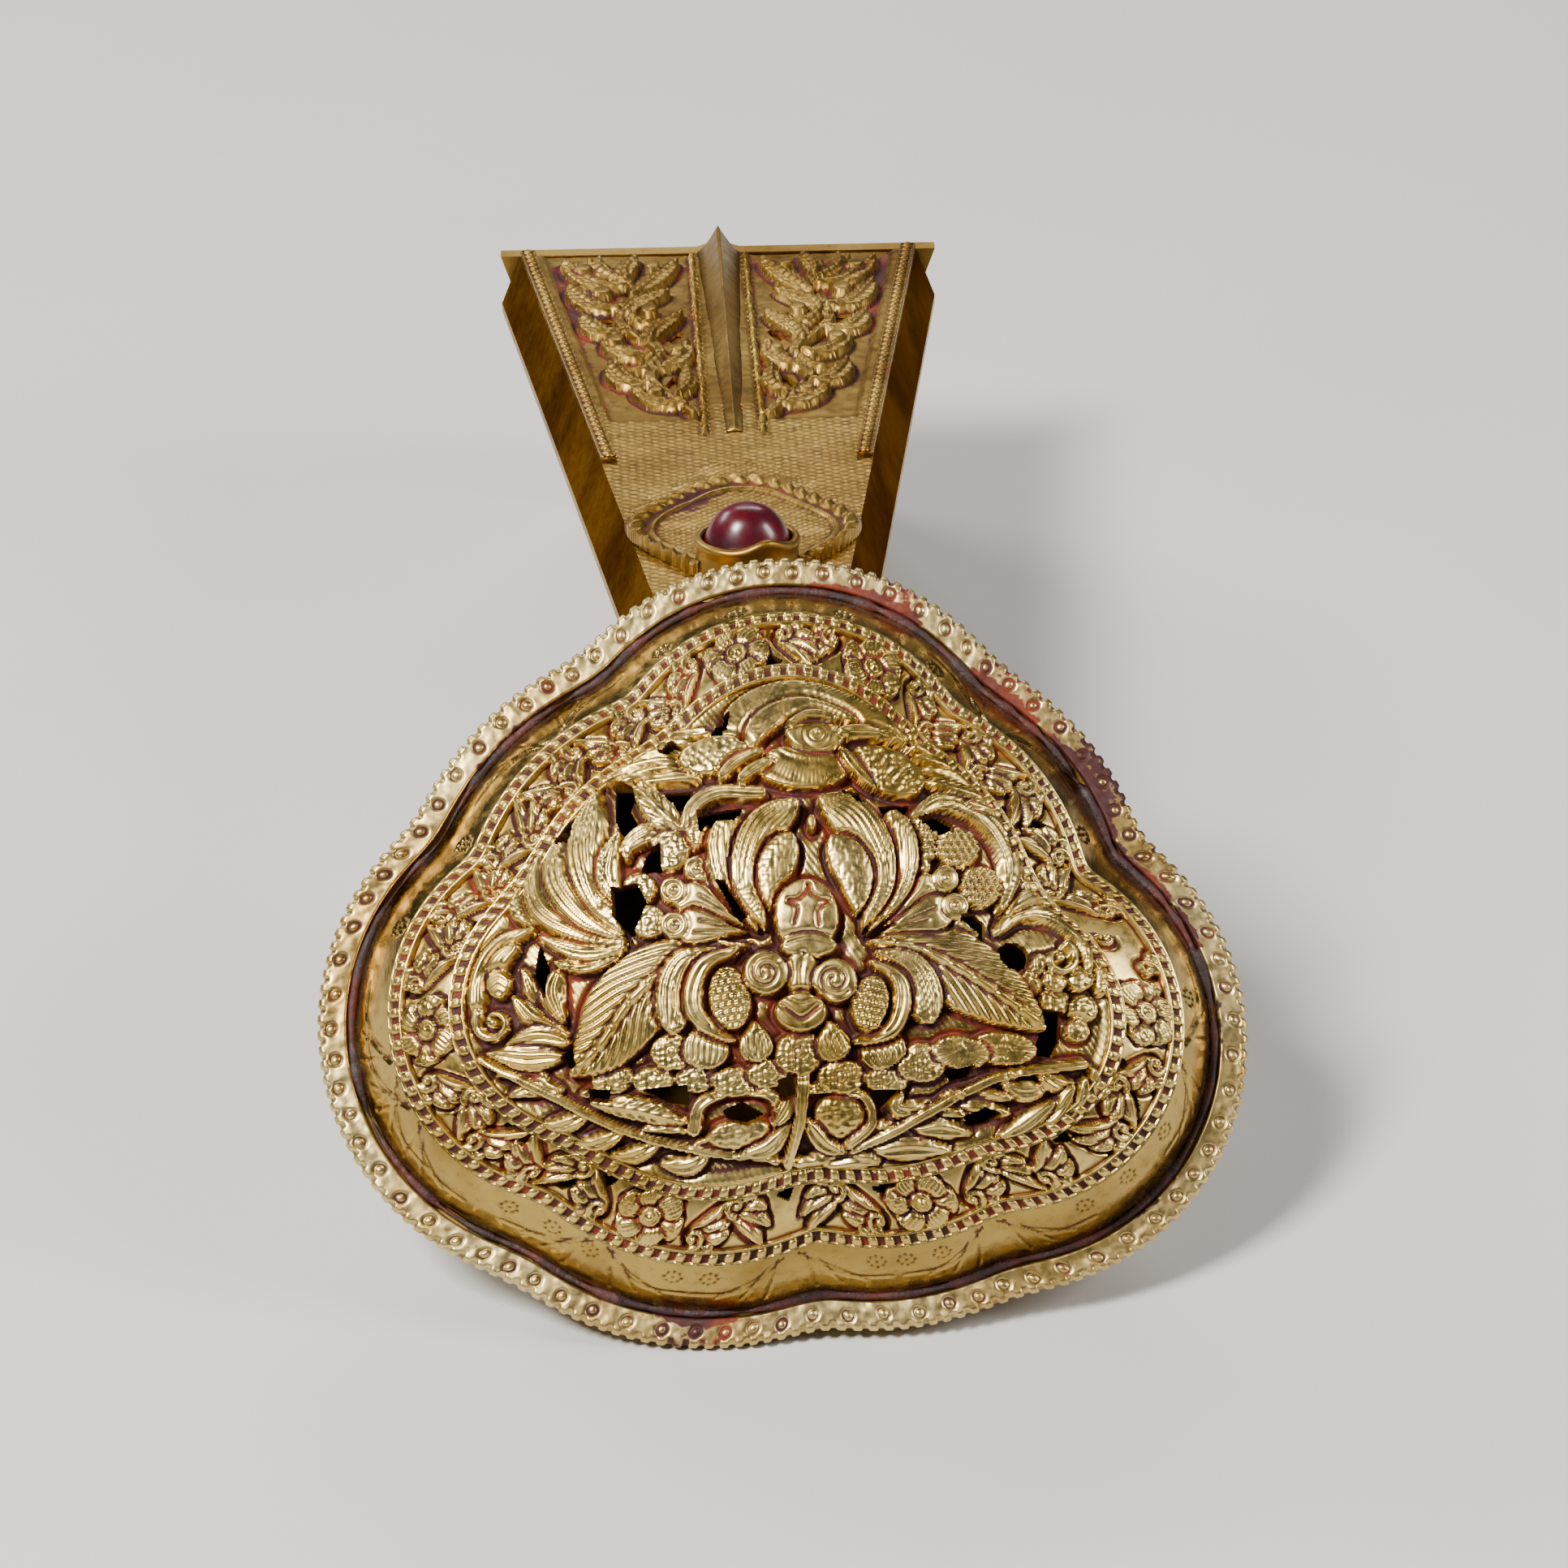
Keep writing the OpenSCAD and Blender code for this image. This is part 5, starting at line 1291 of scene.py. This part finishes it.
def handle_top():
    """The two leaves of the top sheet: a sunk leafy panel each side of the keel, a bead row
    beside the keel, fine cross hatching between the cartouche and the panels."""
    tt, ff = np.meshgrid(np.linspace(0, HANDLE_LEN, 310), np.linspace(0, 1, 96),
                         indexing="ij")
    margin = 2.2
    for side, node in ((-1, "handle_top_left"), (1, "handle_top_right")):
        xx = side * ff * (half_at(tt) - BEVEL)
        r = Relief(xx, tt)
        inset = np.minimum(half_at(tt) - BEVEL - margin - np.abs(xx), np.abs(xx) - margin)
        panel = smooth(np.minimum(inset, (tt - PANEL_START) * 0.6) / 0.5)
        r.h -= (0.35 * panel).ravel()
        handle_leafwork(r, side)
        for i in range(40):
            r.boss(side * 2.75, KEEL_START + 1.22 * i, 0.42, 0.5, lift=0.1, crown=0.4,
                   ditch=0.12)
        plain = (1 - panel) * (tt < 44)
        rise = r.grid("h") - 0.07 * plain * crosshatch(xx, tt, 0.6, 0.9, 3) + 0.06 * drift(
            xx, tt, 5, 2)
        rise = rise + 0.03 * drift(xx, tt, 1.1, 3)
        hollow = hollows(rise, 3, 0.25)
        stain = smooth(1 - np.hypot((xx + 15) / 6, (tt - 72) / 22)) + smooth(
            1 - np.hypot((xx - 15) / 3.5, (tt - 72) / 20))
        resin = 0.2 * panel * (hollow > 0.1) + 0.4 * stain
        ts, xs, inside = snapped(tt, xx, r.grid("solid"), 0.3)
        shell(node + "_chased", on_handle(xs, ts, rise),
              on_handle(xs, ts, np.full(xs.shape, -TOP_SHEET)), all_four(inside),
              [handle_gilt, sawn, inner_gilt], body="base", hollow=hollow, lac=resin,
              stands_for=(node,))


def borders():
    """Raised borders: two lines with a row of beads between, on a strip 1.6 mm wide."""
    t = np.linspace(BORDER_START, HANDLE_LEN, 420)
    v = np.linspace(-1, 1, 13)
    tt, vv = np.meshgrid(t, v, indexing="ij")
    bead = np.clip(1 - (2 * (((tt / 1.2) % 1) - 0.5) * 1.05) ** 2 - (vv / 0.6) ** 2, 0, 1)
    rise = 0.28 + 0.3 * np.exp(-((np.abs(vv) - 0.86) / 0.14) ** 2) + 0.42 * np.sqrt(bead)
    rise = rise * smooth((1.06 - np.abs(vv)) / 0.1) + 0.05
    hollow = hollows(rise, 2, 0.2)
    low = np.full((len(t), 2), -0.05)
    vb = np.hstack([vv, np.broadcast_to([0.5, -0.5], low.shape)])
    rise, hollow = np.hstack([rise, low]), np.hstack([hollow, low * 0])
    tb = np.hstack([tt, tt[:, :2]])
    for side, node in ((-1, "left_border"), (1, "right_border")):
        x = side * (half_at(tb) - BEVEL - 0.82 + 0.8 * vb)
        bar(node + "_beaded", on_handle(x, tb, rise), [handle_gilt], body="base",
            hollow=hollow, lac=0.25 * (hollow > 0.1), stands_for=(node,))


def keel():
    """Keel: a rib of height 0.35 + 2.55 f^1.2 mm along its run f, with hollow flanks: across
    it the height goes as (1 - |v|)^1.35."""
    t = np.linspace(KEEL_START, HANDLE_LEN, 120)
    f = (t - KEEL_START) / (HANDLE_LEN - KEEL_START)
    v = np.concatenate([np.linspace(-1, 1, 21), np.linspace(0.7, -0.7, 4)])
    top = np.where(np.arange(25) < 21, (1 - np.abs(v)) ** 1.35, 0)
    tall, half = 0.35 + 2.55 * f ** 1.2, 0.8 + 1.4 * f
    ff, vv = np.meshgrid(f, v, indexing="ij")
    rise = tall[:, None] * top[None, :] + 0.05 * drift(vv * 3, ff * 40, 1.2, 5) * (top > 0)
    rise = np.where(top[None, :] > 0, rise, -0.05)
    x = half[:, None] * vv
    # Painted shade and lac: the hollow field is high on the keel's low flanks and underside,
    # which darkens them and lets lac gather there.
    bar("keel_rib", on_handle(x, t[:, None] + 0 * x, rise), [handle_gilt], body="base",
        hollow=np.clip(0.7 - 2 * top[None, :] * np.ones_like(rise), 0, 0.7),
        stands_for=("keel",))


def lobed_oval(x, t, middle, half_x, half_t, size):
    """How far inside a lobed oval a point lies: (1 - rho / wave) * size, where rho is 1 on
    the oval of these half widths and wave = 1 - 0.0675 (1 - cos 4 angle). And the angle."""
    dx, dt = x / half_x, (t - middle) / half_t
    ang = np.arctan2(dt, dx)
    lobes = 1 - 0.0675 * (1 - np.cos(4 * ang))
    return (1 - np.hypot(dx, dt) / lobes) * size, ang


def cartouche():
    """Lobed oval plate. Inside its hatched flange, a twisted rope and a raised line follow a
    shorter lobed oval round a hatched ground, and an oval hole takes the bezel."""
    x, t = np.meshgrid(np.arange(-11.4, 11.5, 0.19), np.arange(0.1, 30.4, 0.21),
                       indexing="ij")
    flange, _ = lobed_oval(x, t, 15.1, 10.75, 14.5, 11.5)
    gap, ang = lobed_oval(x, t, 12.6, 10.7, 12.2, 11)
    rope = np.exp(-((gap - 1.0) / 0.75) ** 4)
    twist = wave(ang * 34 + gap * 2.2)
    inner = np.exp(-((gap - 2.5) / 0.22) ** 2)
    hatch = crosshatch(x, t, 0.8, 0.8, 2)
    ground = smooth((gap - 2.5) / 0.4)
    rise = 0.72 + rope * (0.3 + 0.5 * twist) + 0.22 * inner - ground * (0.12 + 0.07 * hatch)
    rise = np.where(gap > 0, rise, 0.2 - 0.07 * hatch)
    rise = rise + 0.08 * drift(x, t, 2.2, 7) + 0.04 * drift(x, t, 0.7, 8)
    hole = (np.hypot(x / 4.65, (t - GEM_AT) / 4.05) - 1) * 4.2
    hollow = hollows(rise, 3, 0.2)
    stain = smooth(1 - np.hypot((x + 5) / 4, (t - 20) / 6))
    xs, ts, inside = snapped(x, t, np.minimum(flange, hole), 0.2)
    shell("cartouche", on_handle(xs, ts, rise), on_handle(xs, ts, np.full(x.shape, 0.02)),
          all_four(inside), [handle_gilt, handle_gilt, inner_gilt], body="base",
          hollow=hollow, lac=0.6 * stain + 0.1, stands_for=("cartouche_plate",))


def bezel_and_gem():
    """Bezel: an oval wall with a rolled lip, lifted at one place. Gem: an oval dome of
    height 1.4 + 4.9 (1 - q^2.4)^0.55, q running out from its middle."""
    a = np.linspace(0, 2 * PI, 160, endpoint=False)
    out = np.array([0.5, 0.56, 0.5, 0.42, 0.44, 0.6, 0.62, 0.45, 0.15, -0.1, -0.06, 0, 0, 0.2])
    h = np.array([0.0, 0.5, 1.2, 2.0, 2.5, 2.75, 3.05, 3.3, 3.4, 3.2, 2.8, 2.4, 0.6, 0.0])
    lift = 0.9 * np.exp(-((a - math.radians(292)) / 0.42) ** 2)[:, None] * (h > 2.4)[None, :]
    x = (4.1 + out) * np.cos(a)[:, None]
    t = GEM_AT + (3.5 + out) * np.sin(a)[:, None]
    hoop("gem_bezel_rolled", on_handle(x, t, h[None, :] + lift), [handle_gilt], body="base",
         stands_for=("gem_bezel",))
    q = np.concatenate([np.linspace(0.02, 1, 26) ** 0.8, [0.995, 0.99]])
    tall = 1.4 + 4.9 * np.clip(1 - q ** 2.4, 0, 1) ** 0.55
    tall[-2:] = (1.2, 1.0)
    x = 4.06 * q * np.cos(a)[:, None]
    t = GEM_AT + 3.46 * q * np.sin(a)[:, None]
    grid = on_handle(x, t, tall[None, :] + 0 * x)
    bar("garnet_cabochon", np.swapaxes(grid, 0, 1), [garnet_red], body="base", slot="garnet",
        stands_for=("gem",))


handle_top()
borders()
keel()
cartouche()
bezel_and_gem()


# ---- Stage ----

def floor():
    """Plain pale floor, 6 m across."""
    s = 3.0
    mesh = bpy.data.meshes.new("floor")
    mesh.from_pydata([(-s, -s, 0), (s, -s, 0), (s, s, 0), (-s, s, 0)], [], [(0, 1, 2, 3)])
    g = Nodes("pale_floor")
    tone = g.noise(60, 3)
    mesh.materials.append(g.finish(
        Base_Color=g.mix(tone, (0.62, 0.61, 0.59), (0.68, 0.67, 0.65)), Roughness=0.6))
    ob = bpy.data.objects.new("floor", mesh)
    bpy.context.scene.collection.objects.link(ob)


def lamp(name, place, aim, size, watts, tint=(1, 1, 1)):
    """Soft oblong lamp at place, turned to aim."""
    data = bpy.data.lights.new(name, "AREA")
    data.shape, data.size, data.size_y = "RECTANGLE", size[0], size[1]
    data.energy, data.color = watts, tint
    ob = bpy.data.objects.new(name, data)
    ob.location = place
    ob.rotation_euler = (Vector(aim) - Vector(place)).to_track_quat("-Z", "Y").to_euler()
    bpy.context.scene.collection.objects.link(ob)


def camera():
    """Looks near the head's middle from 33 degrees up, 2.5 degrees left, 450 mm away."""
    az, el, far = math.radians(-2.5), math.radians(33), 0.45
    aim_up, aim_right = 0.0138, 0.0003
    back = Vector((math.sin(az) * math.cos(el), -math.cos(az) * math.cos(el), math.sin(el)))
    right = Vector((math.cos(az), math.sin(az), 0))
    aim = Vector(HEAD * MM) + aim_up * right.cross(-back) + aim_right * right
    data = bpy.data.cameras.new("camera")
    data.sensor_width, data.lens = 36, 121.2
    data.clip_start, data.clip_end = 0.01, 20
    ob = bpy.data.objects.new("camera", data)
    ob.location = aim + far * back
    ob.rotation_euler = (-back).to_track_quat("-Z", "Y").to_euler()
    bpy.context.scene.collection.objects.link(ob)
    bpy.context.scene.camera = ob


floor()
camera()
AT_FACE, AT_HANDLE = (0, -0.04, 0.02), (0, 0, 0.03)
lamp("key", (-0.34, -0.34, 0.62), AT_FACE, (0.15, 0.2), 10.5, (1, 0.97, 0.92))
lamp("fill", (0.55, -0.2, 0.4), AT_FACE, (0.15, 0.3), 3.0, (1, 0.98, 0.96))
lamp("back", (-0.45, 0.35, 0.4), AT_HANDLE, (0.3, 0.12), 2.0)
lamp("top", (0.05, 0.5, 0.45), AT_HANDLE, (0.4, 0.14), 1.3)
world = bpy.data.worlds.new("studio")
bpy.context.scene.world = world
world.use_nodes = True
sky = world.node_tree.nodes["Background"]
sky.inputs["Color"].default_value = (0.9, 0.93, 1.0, 1)
sky.inputs["Strength"].default_value = 0.085
